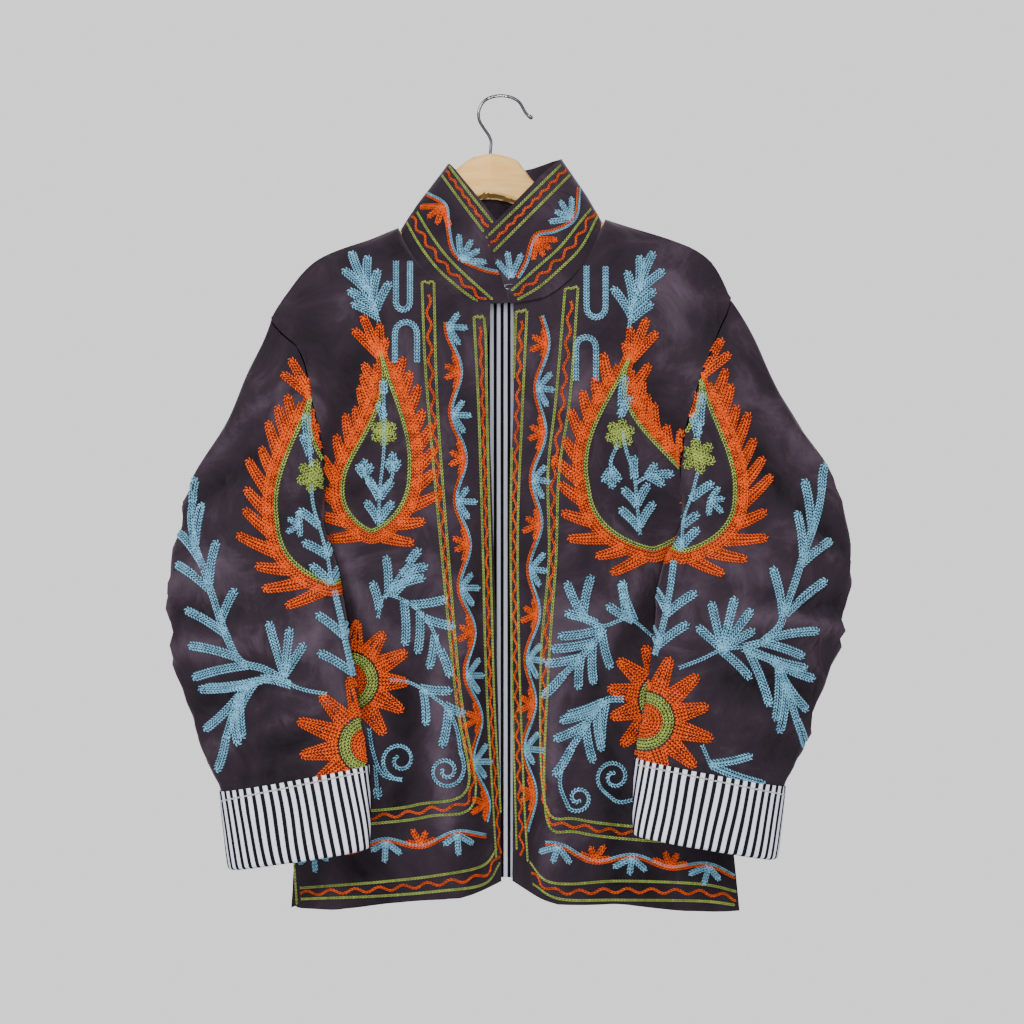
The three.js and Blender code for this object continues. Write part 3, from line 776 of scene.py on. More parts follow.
def link_shape():
    """One link of chain stitch, forward along x: two slim lobes that close up ahead. Returns
    its points, the painted shade and painted highlight of each, and its triangles."""
    along_off_half_high = [
        (-0.30, 0.46, 0.00, 0.1),
        (0.14, 0.37, 0.27, 0.95),
        (0.70, 0.17, 0.24, 1.0),
        (1.16, 0.02, 0.00, 0.2),
    ]
    points = []
    painted_shades = []
    triangles = []
    for side in (-1, 1):
        start = len(points)
        # Painted shade at the tips and along the lower edges, painted highlight along the top
        for along, off, half, high in along_off_half_high:
            if half == 0:
                points.append((along, side * off, high))
                painted_shades.append(LINK_END_SHADE)
            else:
                for k in (-1, 0, 1):
                    points.append((along, side * (off + k * half), high if k == 0 else -0.1))
                painted_shades += [LINK_EDGE_SHADE, LINK_TOP_HIGHLIGHT, LINK_EDGE_SHADE]
        faces = []
        for k in range(3):
            n = (k + 1) % 3
            faces.append((start, start + 1 + k, start + 1 + n))
            faces.append((start + 1 + k, start + 4 + k, start + 4 + n))
            faces.append((start + 1 + k, start + 4 + n, start + 1 + n))
            faces.append((start + 4 + k, start + 7, start + 4 + n))
        triangles += faces if side == 1 else [(a, c, b) for a, b, c in faces]
    return np.array(points), np.array(painted_shades), np.array(triangles)


def densified(stroke, step):
    """The same line with points at even steps of about `step`."""
    points = np.asarray(stroke, float)
    lengths = np.linalg.norm(np.diff(points, axis=0), axis=1)
    reach = np.concatenate([[0], np.cumsum(lengths)])
    if reach[-1] < 1e-6:
        return points
    count = max(2, int(reach[-1] / step) + 1)
    return at_marks(np.linspace(0, reach[-1], count), reach, points)


def curve(points, count=24):
    """A smooth curve through a few chart points."""
    points = np.asarray(points, float)
    if len(points) < 3:
        return densified(points, 3)
    padded = np.vstack([2 * points[0] - points[1], points, 2 * points[-1] - points[-2]])
    steps = max(4, count // (len(points) - 1))
    line = []
    for i in range(1, len(padded) - 2):
        p0, p1, p2, p3 = padded[i - 1:i + 3]
        for t in np.linspace(0, 1, steps, endpoint=False):
            line.append(0.5 * (2 * p1 + (p2 - p0) * t + (2 * p0 - 5 * p1 + 4 * p2 - p3) * t * t
                               + (3 * p1 - p0 - 3 * p2 + p3) * t ** 3))
    line.append(points[-1])
    return np.array(line)


def perpendiculars(stroke):
    ahead = unit_rows(np.gradient(stroke, axis=0))
    return np.stack([ahead[:, 1], -ahead[:, 0]], 1)


def shifted(stroke, offset):
    """The stroke moved sideways."""
    stroke = np.asarray(stroke, float)
    if offset == 0:
        return stroke
    return stroke + perpendiculars(stroke) * offset


def turned(vector, degrees):
    """A chart vector turned clockwise."""
    a = math.radians(degrees)
    return np.array([
        vector[0] * math.cos(a) - vector[1] * math.sin(a),
        vector[0] * math.sin(a) + vector[1] * math.cos(a),
    ])


UPRIGHT = np.array([0.0, -1.0])


# Motifs

# Steps along a leaf, how far round in radians its bend swings, and the rounding of its tip
LEAF_STEPS = 8
LEAF_SWING = 2.4
CROWN_DEGREES = (-60, -30, 0, 30, 60)

# A leaf wider than this, in chart units to each side, has inner rows that start there
SOLID_HALF = 1.9

# Width of a branch's leaf at its root, against the width near its tip
ROOT_SHARE = 0.9


def leaf(work, root, tip, colour, wide=LEAF_HALF, base=LEAF_HALF, bend=0.0, scale=LEAF_SCALE):
    """A leaf, petal or flame. A row of stitches goes up one side, round the tip and down the
    other, with more such rows inside where it is wide. `wide` is half its width near the
    tip and `base` at its root."""
    root = np.asarray(root, float)
    way = np.asarray(tip, float) - root
    length = np.linalg.norm(way)
    unit = way / max(length, 1e-6)
    across = np.array([-unit[1], unit[0]])
    shares = np.linspace(0, 1, LEAF_STEPS)
    straight = max(length - wide, 1.0)
    half = base + (wide - base) * shares
    bow = bend * np.sin(shares * LEAF_SWING)
    middle = root + unit * (shares * straight)[:, None] + across * bow[:, None]
    arc = np.radians(CROWN_DEGREES)
    crown = middle[-1] + wide * (unit * np.cos(arc)[:, None] + across * np.sin(arc)[:, None])
    up = middle - across * half[:, None]
    down = middle + across * half[:, None]
    work.row(np.vstack([up, crown, down[::-1]]), colour, scale)
    inner = int((max(base, wide) - SOLID_HALF) / ROW_PITCH)
    for offset in np.arange(-inner, inner + 1) * ROW_PITCH:
        inside = half > abs(offset) + INNER_GAP
        if inside.sum() > 1:
            work.row(middle[inside] + across * offset, colour, scale * 1.1)


def branch(work, stem, leaves, thick=0, wide=LEAF_HALF, end=0):
    """A curved blue stem with leaves. Each leaf: its place along the stem, its angle to the
    stem, clockwise, and its length. A thick stem has two rows, that far off its middle.
    `end` is the length of a last leaf at the tip."""
    line = densified(curve(stem, 30), 2)
    work.rows(line, BLUE, (-thick, thick) if thick else (0,), STEM_SCALE)
    reach = np.linspace(0, 1, len(line))
    leaves = list(leaves)
    if end:
        leaves.append((1.0, 0, end))
    for share, angle, length in leaves:
        shares = np.clip(share + np.array([0, -0.06, 0.06]), 0, 1)
        at, before, ahead = at_marks(shares, reach, line)
        unit = (ahead - before) / max(np.linalg.norm(ahead - before), 1e-6)
        tip = at + turned(unit, angle) * length
        bend = -math.copysign(0.05 * length, angle)
        leaf(work, at - unit * 2, tip, BLUE, wide, wide * ROOT_SHARE, bend)


def pairs(count, length, angle, first=0.1, last=0.85, shrink=0.25):
    """Leaves in pairs along a stem, a little uneven, for `branch`."""
    table = []
    for i in range(count):
        share = first + (last - first) * i / max(count - 1, 1)
        size = length * (1 - shrink * i / count)
        one = size * (1 + 0.09 * math.sin(3.3 * i + length))
        two = size * (1 + 0.09 * math.cos(2.7 * i + length))
        table.append((share, angle * (1 + 0.08 * math.sin(2.1 * i)), one))
        table.append((share, -angle * (1 + 0.08 * math.cos(1.7 * i)), two))
    return table


def fan(work, centre, lobes, colour=BLUE, wide=LEAF_HALF, scale=LEAF_SCALE):
    """Lobes from one point. Each: its angle from upright, clockwise, and its length."""
    centre = np.asarray(centre, float)
    for angle, length in lobes:
        tip = centre + turned(UPRIGHT, angle) * length
        leaf(work, centre, tip, colour, wide, wide * 0.8, 0.0, scale)


def bud(work, centre, way, spread, count, length, colour=BLUE):
    """A small sprig or half flower with slim lobes."""
    lobes = []
    for i in range(count):
        size = length * (1 + 0.12 * math.sin(2.2 * i + way))
        lobes.append((way - spread / 2 + spread * i / (count - 1), size))
    fan(work, centre, lobes, colour, BUD_HALF, BUD_SCALE)


TEARDROP_STEPS = 72


def teardrop(tip, foot, half_width, lean):
    """Outline of a paisley from its tip round its foot and back. Its neck leans sideways."""
    tip = np.asarray(tip, float)
    axis = np.asarray(foot, float) - tip
    unit = axis / np.linalg.norm(axis)
    across = np.array([unit[1], -unit[0]])
    turn = np.linspace(0, math.tau, TEARDROP_STEPS + 1)
    down = (1 - np.cos(turn)) / 2
    half = down ** 2.2 * np.maximum(1 - down, 0) ** 0.8 / 0.1755
    sideways = np.sign(np.sin(turn)) * half * half_width
    line = tip + axis * down[:, None] - across * sideways[:, None]
    sway = np.sin(down * math.pi / 0.66)
    line[:, 0] += lean * np.where(sway > 0, sway, 0.5 * sway)
    return line


# Orange rows round a paisley: each one's distance outwards and how many steps it lacks at the tip
PAISLEY_ROWS = ((4.2, 2), (7.9, 6), (11.4, 9))

# Where the first flame stands, as a share of the way round, half the width of a flame near
# its tip and at its root, and how far it turns towards the paisley's tip
FLAME_START = 0.07
FLAME_HALF = 2.3
FLAME_ROOT = 4.8
FLAME_SWEEP = 1.2

# The flames at a paisley's tip: angle from its axis and length, and half the width of a root
PLUME = ((-16, 18), (4, 32), (26, 44), (48, 38))
PLUME_ROOT = 3.2


def paisley(work, tip, foot, half_width, lean, plume, flames=18, flame=34):
    """A teardrop in green with a border of orange flames that point up along it. `plume` is
    the side to which the flames at its tip lean."""
    line = teardrop(tip, foot, half_width, lean)
    work.row(line, GREEN, 1.05)
    steps = np.linalg.norm(np.diff(line, axis=0), axis=1)
    reach = np.concatenate([[0], np.cumsum(steps)]) / steps.sum()
    outward = perpendiculars(line)
    if np.sum(outward * (line - line.mean(0))) < 0:
        outward = -outward
    for offset, cut in PAISLEY_ROWS:
        work.row((line + outward * offset)[cut:-cut], ORANGE)
    head = np.asarray(tip, float)
    unit = head - np.asarray(foot, float)
    unit /= np.linalg.norm(unit)
    for i in range(flames):
        share = FLAME_START + (1 - 2 * FLAME_START) * i / (flames - 1)
        at = at_marks([share], reach, line)[0]
        out = at_marks([share], reach, outward)[0]
        low = math.sin(share * math.pi)
        before, after = at_marks([share - 0.02, share + 0.02], reach, line)
        upward = before - after
        upward *= (1 if share < 0.5 else -1) / np.linalg.norm(upward)
        way = out + upward * FLAME_SWEEP
        way /= np.linalg.norm(way)
        size = flame * (1 + 0.15 * math.sin(i * 2.4 + tip[0])) * (0.85 + 0.25 * low)
        root = at + out * 6 - unit * 3
        bend = math.copysign(1.5, way[0])
        leaf(work, root, root + way * size, ORANGE, FLAME_HALF, FLAME_ROOT, bend)
    root = head - unit * 5
    for angle, size in PLUME:
        leaf(work, root, root + turned(unit, plume * angle) * size, ORANGE, FLAME_HALF, PLUME_ROOT)


FLOWER_PETALS = 6
ROSETTE_PETALS = 13


def flower(work, centre, radius, start=0.0):
    """A small green flower with round petals."""
    centre = np.asarray(centre, float)
    for i in range(FLOWER_PETALS):
        way = turned(UPRIGHT, start + i * 360 / FLOWER_PETALS)
        leaf(work, centre + way, centre + way * radius, GREEN, 3.7, 2.6, 0.0, 0.9)
    work.row(circle(centre, 2.2), GREEN)


def circle(centre, radius):
    angles = np.radians(np.arange(0, 361, 15))
    return np.stack([centre[0] + radius * np.cos(angles), centre[1] + radius * np.sin(angles)], 1)


def rosette(work, centre, outer, ring=28, start=0.0):
    """A sun flower: an orange core, a green ring and tapered orange petals."""
    for radius in np.arange(2, ring - 10, 3.4):
        work.row(circle(centre, radius), ORANGE)
    for radius in (ring - 8, ring - 4.5, ring - 1):
        work.row(circle(centre, radius), GREEN)
    centre = np.asarray(centre, float)
    base = 1.15 * math.pi * ring / ROSETTE_PETALS + 1
    for i in range(ROSETTE_PETALS):
        way = turned(UPRIGHT, start + i * 360 / ROSETTE_PETALS)
        size = outer * (1 + 0.05 * math.sin(2.3 * i + centre[0]))
        leaf(work, centre + way * (ring + 2), centre + way * size, ORANGE, 3.3, base)


def wave(line, height, period, phase=0.0):
    """The line, swinging evenly from side to side."""
    line = densified(line, CHART_STEP)
    reach = np.arange(len(line)) * CHART_STEP
    return line + perpendiculars(line) * (height * np.sin(reach / period * math.tau + phase))[:, None]


# Points of a border's cap, from one green row to the other: how far each is moved in y
CAP_RISES = (0, -2.5, 1, -2.5, 0)


def border(work, first, second, period=24, cap=False):
    """Two thin green rows with an orange zigzag between them, closed at the start by `cap`."""
    one = densified(curve(first, 40), 2)
    two = densified(curve(second, 40), 2)
    work.row(one, GREEN, FINE_SCALE)
    work.row(two, GREEN, FINE_SCALE)
    if cap:
        peaks = at_marks(np.linspace(0, 1, 5), [0, 1], np.array([one[0], two[0]]))
        peaks[:, 1] += CAP_RISES
        work.row(peaks, GREEN, FINE_SCALE)
    shares = np.linspace(0, 1, 60)
    sides = [at_marks(shares, np.linspace(0, 1, len(line)), line) for line in (one, two)]
    gap = np.linalg.norm(sides[0] - sides[1], axis=1).mean()
    middle = (sides[0] + sides[1]) / 2
    height = max(0.8, min(2.4, gap / 2 - 3.2))
    start = 1 if cap else 0
    work.row(wave(middle[start:], height, period), ORANGE, FINE_SCALE)


def band(work, first, middle, second, height, period):
    """A short straight border whose zigzag follows its own line."""
    work.row(first, GREEN, FINE_SCALE)
    work.row(wave(middle, height, period), ORANGE, FINE_SCALE)
    work.row(second, GREEN, FINE_SCALE)


def double_stem(work, stroke, offset=1.2):
    """A blue and an orange row side by side."""
    work.rows(stroke, BLUE, (offset,), FINE_SCALE)
    work.rows(stroke, ORANGE, (-offset,), FINE_SCALE)


def vine(work, stroke, period, height, phase, orange_side):
    """A blue and an orange row side by side in waves. Where they swing to one side an orange
    half flower fills the hollow, and a blue leaf where they swing to the other."""
    line = densified(curve(stroke, 40), CHART_STEP)
    waving = wave(line, height, period, phase)
    double_stem(work, waving, 1.35)
    normal = perpendiculars(line)
    angles = np.arange(len(line)) * CHART_STEP / period * math.tau + phase
    quarter = int(math.ceil((angles[0] - math.pi / 2) / math.pi))
    while quarter * math.pi + math.pi / 2 < angles[-1]:
        k = int(np.searchsorted(angles, quarter * math.pi + math.pi / 2))
        swing = 1 if quarter % 2 == 0 else -1
        way = -swing * normal[k]
        compass = math.degrees(math.atan2(way[0], -way[1]))
        if swing == -orange_side:
            bud(work, waving[k] + way * 1.5, compass, 150, 4, 16, ORANGE)
        else:
            bud(work, waving[k] + way * 2, compass + 5, 110, 3, 19)
        quarter += 1


def spiral(work, centre, radius, turns, start, tail):
    """A coil that winds inwards from the end of its tail. A negative number of turns winds
    the other way."""
    shares = np.linspace(0, 1, 44)
    radii = radius * (1 - 0.82 * shares)
    angles = math.radians(start) + shares * turns * math.tau
    coil = np.stack([centre[0] + radii * np.cos(angles), centre[1] + radii * np.sin(angles)], 1)
    lead = curve(list(tail) + [tuple(coil[0])], 16)
    work.row(np.vstack([lead[:-1], coil]), BLUE)


def arch(work, x, y, width, height, upright):
    """A blue arch, or the same upside down: two legs joined by a half circle."""
    turn = np.linspace(0, math.pi, 9)
    sign = -1 if upright else 1
    bow = np.stack([x - width / 2 * np.cos(turn), y + sign * width / 2 * np.sin(turn)], 1)
    left = [x - width / 2, y - sign * height]
    right = [x + width / 2, y - sign * height]
    work.rows(densified(np.vstack([left, bow, right]), 2), BLUE, (-1.4, 1.4), BUD_SCALE)


# Cloths

cloths = {
    "front_left": panel_cloth("front_left", FRONT_LEFT_CREASES, 11, -1, 1.2),
    "front_right": panel_cloth("front_right", FRONT_RIGHT_CREASES, 12, -1, 1.2),
    "back": panel_cloth("back", BACK_CREASES, 13, 1, 1.5),
    "lining_back": panel_cloth("lining_back", BACK_CREASES, 13, 1, 1.5),
    "collar": collar_cloth(),
    "sleeve_left": sleeve_cloth("left", SLEEVE_LEFT_CREASES, 21),
    "sleeve_right": sleeve_cloth("right", SLEEVE_RIGHT_CREASES, 22),
    "cuff_left": cuff_cloth("left"),
    "cuff_right": cuff_cloth("right"),
}
add_stripes(cloths["lining_back"], read_points(cloths["lining_back"])[:, 0])

STRIPED_NODES = ("lining_back", "cuff_left", "cuff_right")

pieces = {}
for node, mesh in cloths.items():
    material = STRIPED if node in STRIPED_NODES else VELVET
    pieces[node] = finished(mesh, node + "_cloth", node, material)
    sharpen(pieces[node])


# Embroidery of each piece. Tables of leaves: place along the stem, angle, length.

CHEST_LEAVES = [
    (0.2, -52, 27), (0.35, 48, 30), (0.42, -42, 30), (0.6, 35, 30), (0.8, -28, 34), (0.88, 24, 33),
]


def mirrored_leaves(table):
    return [(share, -angle, length) for share, angle, length in table]


def sew_front_left(work):
    border(work, [(422, 283), (426, 377), (439, 525), (456, 698),
                  (468, 788), (420, 804), (380, 810), (290, 815)],
           [(434, 283), (437, 398), (446, 525), (460, 690),
            (475, 800), (430, 816), (380, 823), (290, 829)], cap=True)
    border(work, [(474, 318), (479, 419), (483, 560), (486, 675), (492, 790), (496, 858)],
           [(484, 318), (486, 345), (487, 419), (491, 583), (494, 700), (499, 790), (503, 850)],
           20, cap=True)
    border(work, [(300, 888), (380, 882), (440, 875), (482, 866), (497, 848)],
           [(301, 899), (380, 896), (440, 891), (484, 884), (500, 862)])
    work.row([(294, 858), (297, 905)], GREEN, FINE_SCALE)
    vine(work, [(452, 322), (456, 400), (461, 490), (466, 600), (475, 720), (484, 822)], 87, 6.0, -1.9, -1)
    vine(work, [(300, 856), (360, 846), (420, 842), (486, 832)], 72, 4.5, 0.4, 1)
    branch(work, [(379, 322), (374, 305), (366, 285)], CHEST_LEAVES, end=36)
    arch(work, 403, 303, 14, 42, False)
    arch(work, 406, 333, 22, 30, True)
    paisley(work, (381, 351), (376, 531), 33, 9, -1, 20, 28)
    branch(work, [(379, 526), (380, 490), (384, 450), (384, 392)],
           [(0.05, -40, 22), (0.05, 40, 22), (0.22, -38, 22), (0.22, 38, 20), (0.82, -25, 14)], end=12)
    branch(work, [(381, 492), (392, 478), (393, 462)], [(0.8, -40, 10), (0.8, 40, 10)], end=9)
    branch(work, [(378, 490), (366, 478), (365, 468)], [(0.8, -45, 11), (0.8, 45, 11)], end=8)
    flower(work, (384, 432), 13)
    branch(work, [(378, 618), (384, 596), (401, 599), (418, 610), (432, 628), (441, 652)],
           [(0.1, -30, 26), (0.3, -70, 34), (0.42, 64, 44), (0.5, -50, 34), (0.6, 50, 40), (0.68, -42, 28),
            (0.85, 34, 32)], end=26)
    branch(work, [(385, 598), (396, 580), (410, 562)],
           [(0.2, -38, 34), (0.3, 44, 34), (0.7, 40, 26)], end=16)
    rosette(work, (349, 681), 61, start=8)
    branch(work, [(390, 680), (405, 681), (421, 688), (435, 698), (447, 708), (457, 730), (461, 756)],
           [(0.3, -30, 28), (0.32, 56, 34), (0.55, -30, 20), (0.6, 44, 36)])
    spiral(work, (446, 771), 17, 1.6, 10, [(461, 752), (464, 766)])
    spiral(work, (400, 760), 20, 1.5, 80, [(369, 728), (373, 752), (383, 775)])
    branch(work, [(375, 765), (377, 790)], [], end=8)
    branch(work, [(330, 800), (326, 770), (318, 742)], pairs(3, 24, 40), end=14)


def sew_front_right(work):
    border(work, [(565, 290), (556, 398), (548, 472), (549, 560), (541, 663),
                  (545, 803), (577, 819), (640, 827), (735, 832)],
           [(578, 288), (570, 398), (559, 472), (556, 560), (549, 663),
            (546, 815), (577, 832), (640, 840), (735, 845)], cap=True)
    border(work, [(516, 313), (512, 440), (511, 560), (513, 700), (517, 850)],
           [(527, 311), (522, 419), (518, 525), (519, 640), (524, 790), (528, 862)], 20, cap=True)
    border(work, [(530, 862), (545, 880), (570, 884), (620, 881), (700, 884), (738, 892)],
           [(533, 884), (560, 899), (620, 900), (700, 901), (735, 905)])
    vine(work, [(543, 316), (541, 400), (536, 500), (533, 620), (529, 740), (532, 832)], 90, 5.5, -0.3, -1)
    vine(work, [(545, 846), (600, 858), (660, 862), (738, 874)], 76, 4.5, 0.6, 1)
    branch(work, [(629, 328), (632, 306), (641, 284)], mirrored_leaves(CHEST_LEAVES), end=34)
    arch(work, 596, 308, 19, 42, False)
    arch(work, 586, 347, 20, 34, True)
    paisley(work, (630, 355), (644, 549), 53, -19, 1, 22, 31)
    branch(work, [(640, 535), (637, 505), (634, 476), (626, 450), (622, 430)],
           [(0.08, -44, 26), (0.1, 42, 26), (0.3, -42, 20), (0.3, 38, 22), (0.55, 12, 20)])
    branch(work, [(634, 484), (648, 476), (657, 475)], [(0.7, -50, 13), (0.7, 50, 17)], end=16)
    branch(work, [(618, 444), (611, 460), (611, 474)], [(0.9, -42, 13), (0.9, 42, 13)], end=14)
    branch(work, [(620, 418), (622, 404)], [(0.3, 24, 20)], end=28, wide=2.5)
    flower(work, (620, 434), 14, start=12)
    branch(work, [(652, 636), (629, 619), (604, 626), (590, 620), (572, 618)],
           [(0.28, 50, 40), (0.36, 88, 38), (0.30, 14, 28),
            (0.88, 62, 40), (0.9, 100, 44), (0.72, -12, 32)])
    branch(work, [(604, 628), (596, 640), (580, 658), (562, 676)],
           [(0.05, 52, 44), (0.3, 44, 42), (0.62, 40, 34),
            (0.1, -50, 36), (0.34, -46, 38), (0.62, -44, 30)],
           thick=1.6, end=28)
    rosette(work, (668, 700), 61, start=4)
    branch(work, [(624, 699), (607, 700), (594, 712), (583, 730), (570, 750)],
           [(0.28, 20, 38), (0.45, 42, 34), (0.64, 38, 34),
            (0.25, -56, 42), (0.42, -50, 40), (0.66, -46, 36)],
           thick=1.6, end=30)
    spiral(work, (578, 798), 14, -1.3, 130, [(563, 762), (560, 785)])
    spiral(work, (614, 777), 18, 1.5, 120, [(633, 800), (618, 802)])
    branch(work, [(690, 612), (696, 585), (706, 556)], pairs(3, 26, 40), end=14)
    branch(work, [(694, 806), (700, 775), (708, 745)], pairs(3, 26, 40), end=14)


def sew_collar(work):
    band(work, [(449, 166), (470, 194), (493, 223)], [(446, 171), (467, 199), (488, 228)],
         [(441, 174), (462, 203), (484, 232)], 1.3, 11)
    border(work, [(417, 212), (429, 232), (444, 253), (462, 272), (493, 300)],
           [(406, 221), (419, 244), (437, 268), (459, 288), (478, 302)], 18)
    double_stem(work, curve([(425, 193), (445, 205), (448, 226), (455, 254), (480, 268), (500, 273)]))
    bud(work, (443, 206), 215, 105, 4, 20, ORANGE)
    bud(work, (461, 260), 45, 100, 4, 23)
    bud(work, (511, 278), -8, 64, 3, 25)
    band(work, [(561, 165), (524, 201), (486, 238)], [(566, 169), (528, 207), (489, 246)],
         [(570, 175), (531, 214), (492, 253)], 1.5, 12)
    border(work, [(591, 209), (580, 222), (561, 246), (539, 266), (511, 291)],
           [(600, 211), (582, 246), (561, 268), (539, 287), (517, 300)], 18)
    double_stem(work, curve([(579, 188), (575, 218), (554, 231), (535, 236), (526, 263), (517, 278)]))
    bud(work, (571, 219), -48, 100, 4, 20)
    bud(work, (536, 239), 140, 95, 4, 19, ORANGE)
    sew_collar_rear(work)


def sew_collar_rear(work):
    work.side = -1
    for y in (168, 186):
        zigzag = [(420, y), (460, y - 3), (505, y - 4), (550, y - 3), (590, y)]
        work.row(wave(zigzag, 1.3, 13), ORANGE, FINE_SCALE)
        line = [(420, y - 5), (460, y - 8), (505, y - 9), (550, y - 8), (590, y - 5)]
        work.row(line, GREEN, FINE_SCALE)
    for x, colour in ((440, ORANGE), (480, BLUE), (520, ORANGE), (560, BLUE)):
        bud(work, (x, 220), 0, 130, 4, 18, colour)
    for y in (228, 238):
        work.row([(408, y), (460, y - 4), (505, y - 5), (550, y - 4), (600, y)], GREEN, FINE_SCALE)


LEFT_UPPER_LEAVES = [
    (0.19, -43, 54), (0.25, -42, 48), (0.37, -40, 45), (0.43, 47, 34), (0.58, -38, 42), (0.61, 31, 42),
    (0.73, -20, 32), (0.80, 26, 40),
]
LEFT_LOWER_LEAVES = [
    (0.26, 10, 54), (0.38, 29, 50), (0.55, 25, 47), (0.33, -41, 38), (0.53, -32, 43), (0.74, -30, 31),
]
RIGHT_UPPER_LEAVES = [
    (0.02, 60, 44), (0.05, 32, 52), (0.22, 34, 55), (0.22, -33, 49), (0.54, 37, 38), (0.60, -31, 42),
    (0.74, -29, 52),
]
RIGHT_LOWER_LEAVES = [
    (0.12, -6, 55), (0.36, -23, 42), (0.60, -21, 34), (0.07, 50, 59), (0.44, 36, 51), (0.63, 29, 46),
]


def sew_sleeve_left(work):
    paisley(work, (312, 392), (326, 583), 46, -14, -1, 22, 36)
    branch(work, [(331, 584), (328, 560), (320, 530), (313, 505), (311, 484)],
           [(0.02, -46, 26), (0.02, 40, 22), (0.3, -52, 26), (0.3, 40, 22), (0.6, -40, 24)])
    bud(work, (300, 524), -95, 170, 4, 14)
    branch(work, [(311, 466), (309, 440)], [(0.5, -20, 20)], end=26, wide=2.6)
    flower(work, (313, 476), 16, start=10)
    rosette(work, (368, 745), 70, start=12)
    branch(work, [(353, 676), (346, 645), (340, 615), (334, 590)],
           [(0.06, -50, 38), (0.10, 45, 30), (0.48, -44, 34), (0.5, 42, 28)], thick=1.5)
    branch(work, [(327, 694), (305, 690), (290, 684), (284, 676)], [(0.8, -28, 30)])
    fan(work, (284, 676), [(-16, 56), (7, 48), (32, 38)])
    branch(work, [(284, 679), (262, 668), (240, 661), (224, 630), (214, 600),
                  (205, 572), (196, 548), (191, 520), (193, 500)],
           LEFT_UPPER_LEAVES, thick=1.9, end=22)
    branch(work, [(284, 680), (262, 680), (243, 690), (234, 712), (226, 738)], LEFT_LOWER_LEAVES,
           thick=1.9, end=34)
    work.side = -1
    paisley(work, (262, 420), (262, 585), 40, 6, 1)
    branch(work, [(262, 572), (262, 470)], pairs(3, 24, 42), end=14)
    rosette(work, (262, 690), 52, 22)
    branch(work, [(205, 650), (208, 580), (206, 510)], pairs(5, 38, 36), thick=1.6, end=24)
    branch(work, [(300, 650), (312, 600), (306, 540)], pairs(3, 30, 38), end=20)


def sew_sleeve_right(work):
    paisley(work, (700, 372), (686, 551), 46, 9, 1, 22, 36)
    branch(work, [(682, 552), (684, 520), (692, 495), (698, 472)],
           [(0.1, 46, 22), (0.06, -44, 22), (0.34, 50, 18), (0.36, -44, 20), (0.68, 40, 26)])
    bud(work, (710, 500), 110, 150, 4, 16)
    branch(work, [(698, 440), (700, 424)], [(0.4, -28, 20)], end=32, wide=2.7)
    flower(work, (698, 456), 17, start=-10)
    rosette(work, (645, 721), 67, start=-6)
    branch(work, [(655, 655), (664, 622), (670, 590), (674, 560)],
           [(0.12, 42, 36), (0.15, -46, 24), (0.45, 46, 36), (0.5, -44, 22)], thick=1.5)
    branch(work, [(679, 668), (702, 659), (721, 650), (743, 647)], [(0.7, 62, 40)])
    fan(work, (722, 649), [(-48, 33), (-13, 48), (14, 53), (37, 49), (59, 37)])
    branch(work, [(760, 643), (779, 627), (786, 607), (796, 579),
                  (802, 559), (808, 543), (818, 512), (822, 488)],
           RIGHT_UPPER_LEAVES, thick=1.9, end=24)
    branch(work, [(743, 647), (760, 643)], [], thick=1.9)
    branch(work, [(743, 648), (774, 662), (785, 682), (791, 702), (797, 722)], RIGHT_LOWER_LEAVES,
           thick=1.9, end=26)
    branch(work, [(702, 745), (712, 768)], [(0.9, -82, 42), (0.95, -50, 56)], wide=1.9)
    work.side = -1
    paisley(work, (742, 410), (742, 575), 40, -6, -1)
    branch(work, [(742, 562), (742, 460)], pairs(3, 24, 42), end=14)
    rosette(work, (742, 680), 52, 22)
    branch(work, [(806, 640), (802, 570), (806, 500)], pairs(5, 38, 36), thick=1.6, end=24)
    branch(work, [(704, 640), (692, 590), (700, 530)], pairs(3, 30, 38), end=20)


BACK_MIDDLE = 506


def beside(sign, points):
    """Chart points from their distances to the back's middle, on one side of it."""
    return [(BACK_MIDDLE + sign * distance, y) for distance, y in points]


def sew_back_half(work, sign):
    tip, foot, sun = beside(sign, [(112, 365), (116, 545), (125, 710)])
    paisley(work, tip, foot, 46, -12 * sign, sign, 20, 32)
    branch(work, beside(sign, [(116, 530), (113, 480), (108, 430)]), pairs(3, 26, 42), end=22)
    branch(work, beside(sign, [(15, 640), (60, 622), (105, 604), (150, 612)]), pairs(4, 42, 45),
           thick=1.6, end=26)
    rosette(work, sun, 58, 26)
    branch(work, beside(sign, [(185, 790), (190, 720), (180, 640)]), pairs(4, 34, 40), end=20)
    border(work, beside(sign, [(2, 874), (90, 874), (180, 880), (222, 884)]),
           beside(sign, [(2, 888), (90, 888), (180, 894), (222, 898)]))
    vine(work, beside(sign, [(4, 846), (90, 850), (212, 852)]), 74, 4.5, 0.6, sign)


def sew_back(work):
    work.side = -1
    sew_back_half(work, -1)
    sew_back_half(work, 1)
    branch(work, [(506, 550), (506, 480), (506, 420)], pairs(4, 40, 40), end=24)
    rosette(work, (506, 610), 56, 26)
    branch(work, [(506, 400), (506, 350), (506, 300)], pairs(4, 34, 42), end=20)
    branch(work, [(506, 820), (506, 750), (506, 680)], pairs(5, 38, 42), end=22)


def sew_cuff_left(work):
    work.row([(221, 801), (296, 786), (368, 771)], WHITE, HEM_SCALE)


def sew_cuff_right(work):
    work.row([(638, 765), (711, 780), (785, 795)], WHITE, HEM_SCALE)


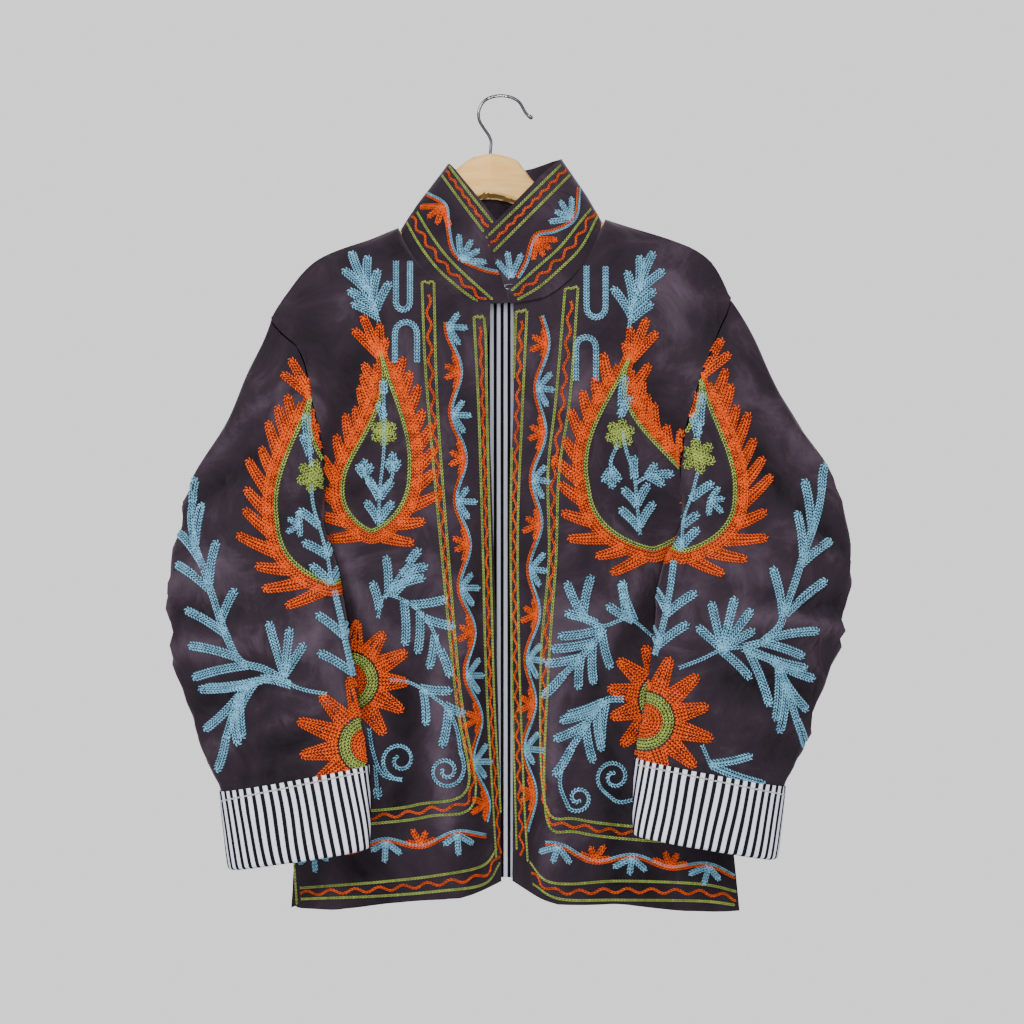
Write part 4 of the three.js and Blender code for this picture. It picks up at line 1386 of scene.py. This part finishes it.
SEWING = {
    "front_left": sew_front_left,
    "front_right": sew_front_right,
    "collar": sew_collar,
    "sleeve_left": sew_sleeve_left,
    "sleeve_right": sew_sleeve_right,
    "back": sew_back,
    "cuff_left": sew_cuff_left,
    "cuff_right": sew_cuff_right,
}
for node, sew in SEWING.items():
    work = Needlework(node + "_stitches", pieces[node].data)
    sew(work)
    work.build()


# Hanger and metal

def smooth_copy(node, material, limit_degrees=80):
    mesh = subdivided(node, node + "_shown", limit_degrees)
    piece = finished(mesh, node + "_shown", node, material)
    sharpen(piece, 60)
    return piece


# The ridge on the wood, in metres: where it stands, how far its facets reach and how high it is
RIDGE_X = -0.0095
RIDGE_REACH = 0.060
RIDGE_RISE = 0.022


def ridge_head(piece):
    """Two flat facets meet in an upright ridge at the front of the hanger's head."""
    points = read_points(piece.data)
    nearness = np.clip(1 - np.abs(points[:, 0] - RIDGE_X) / RIDGE_REACH, 0, 1)
    front = points[:, 1] < points[nearness > 0, 1].mean()
    points[front, 1] -= RIDGE_RISE * nearness[front]
    write_points(piece.data, points)
    sharpen(piece, 12)


hanger_wood = smooth_copy("hanger_wood", BEECH, 20)
ridge_head(hanger_wood)
hanger_hook = smooth_copy("hanger_hook", CHROME)
neck_hook = smooth_copy("neck_hook", CHROME)


# Light, backdrop and camera

# Strength of the backdrop as the camera sees it, and of the light that it gives
BACKDROP = 2.05
AMBIENT = 0.75


def area_light(name, place, target, size, power):
    light = bpy.data.lights.new(name, "AREA")
    light.shape = "DISK"
    light.size = size
    light.energy = power
    lamp = bpy.data.objects.new(name, light)
    lamp.location = place
    lamp.rotation_euler = (Vector(target) - Vector(place)).to_track_quat("-Z", "Y").to_euler()
    bpy.context.scene.collection.objects.link(lamp)


area_light("key", (-1.0, -2.1, 0.9), (0, 0, -0.45), 0.7, 42)
area_light("front", (0.012, -2.7, -0.42), (0, 0, -0.45), 0.4, 46)
area_light("fill", (1.5, -2.0, 0.1), (0, 0, -0.5), 1.6, 8)
area_light("back_fill", (0.6, 2.4, 0.6), (0, 0, -0.45), 1.8, 36)

world = bpy.data.worlds.new("backdrop")
world.use_nodes = True
seen = world.node_tree.nodes["Background"]
seen.inputs["Color"].default_value = (*linear(204, 204, 204), 1)
seen.inputs["Strength"].default_value = BACKDROP
light_path = world.node_tree.nodes.new("ShaderNodeLightPath")
ambient = world.node_tree.nodes.new("ShaderNodeBackground")
ambient.inputs["Color"].default_value = (*linear(204, 204, 208), 1)
ambient.inputs["Strength"].default_value = AMBIENT
choice = world.node_tree.nodes.new("ShaderNodeMixShader")
world_output = world.node_tree.nodes["World Output"]
world.node_tree.links.new(light_path.outputs["Is Camera Ray"], choice.inputs["Fac"])
world.node_tree.links.new(ambient.outputs["Background"], choice.inputs[1])
world.node_tree.links.new(seen.outputs["Background"], choice.inputs[2])
world.node_tree.links.new(choice.outputs["Shader"], world_output.inputs["Surface"])
bpy.context.scene.world = world

camera_data = bpy.data.cameras.new("camera")
camera_data.lens = LENS
camera_data.sensor_width = SENSOR
camera = bpy.data.objects.new("camera", camera_data)
camera.location = EYE
camera.rotation_euler = (math.radians(90), 0, 0)
bpy.context.scene.collection.objects.link(camera)
bpy.context.scene.camera = camera
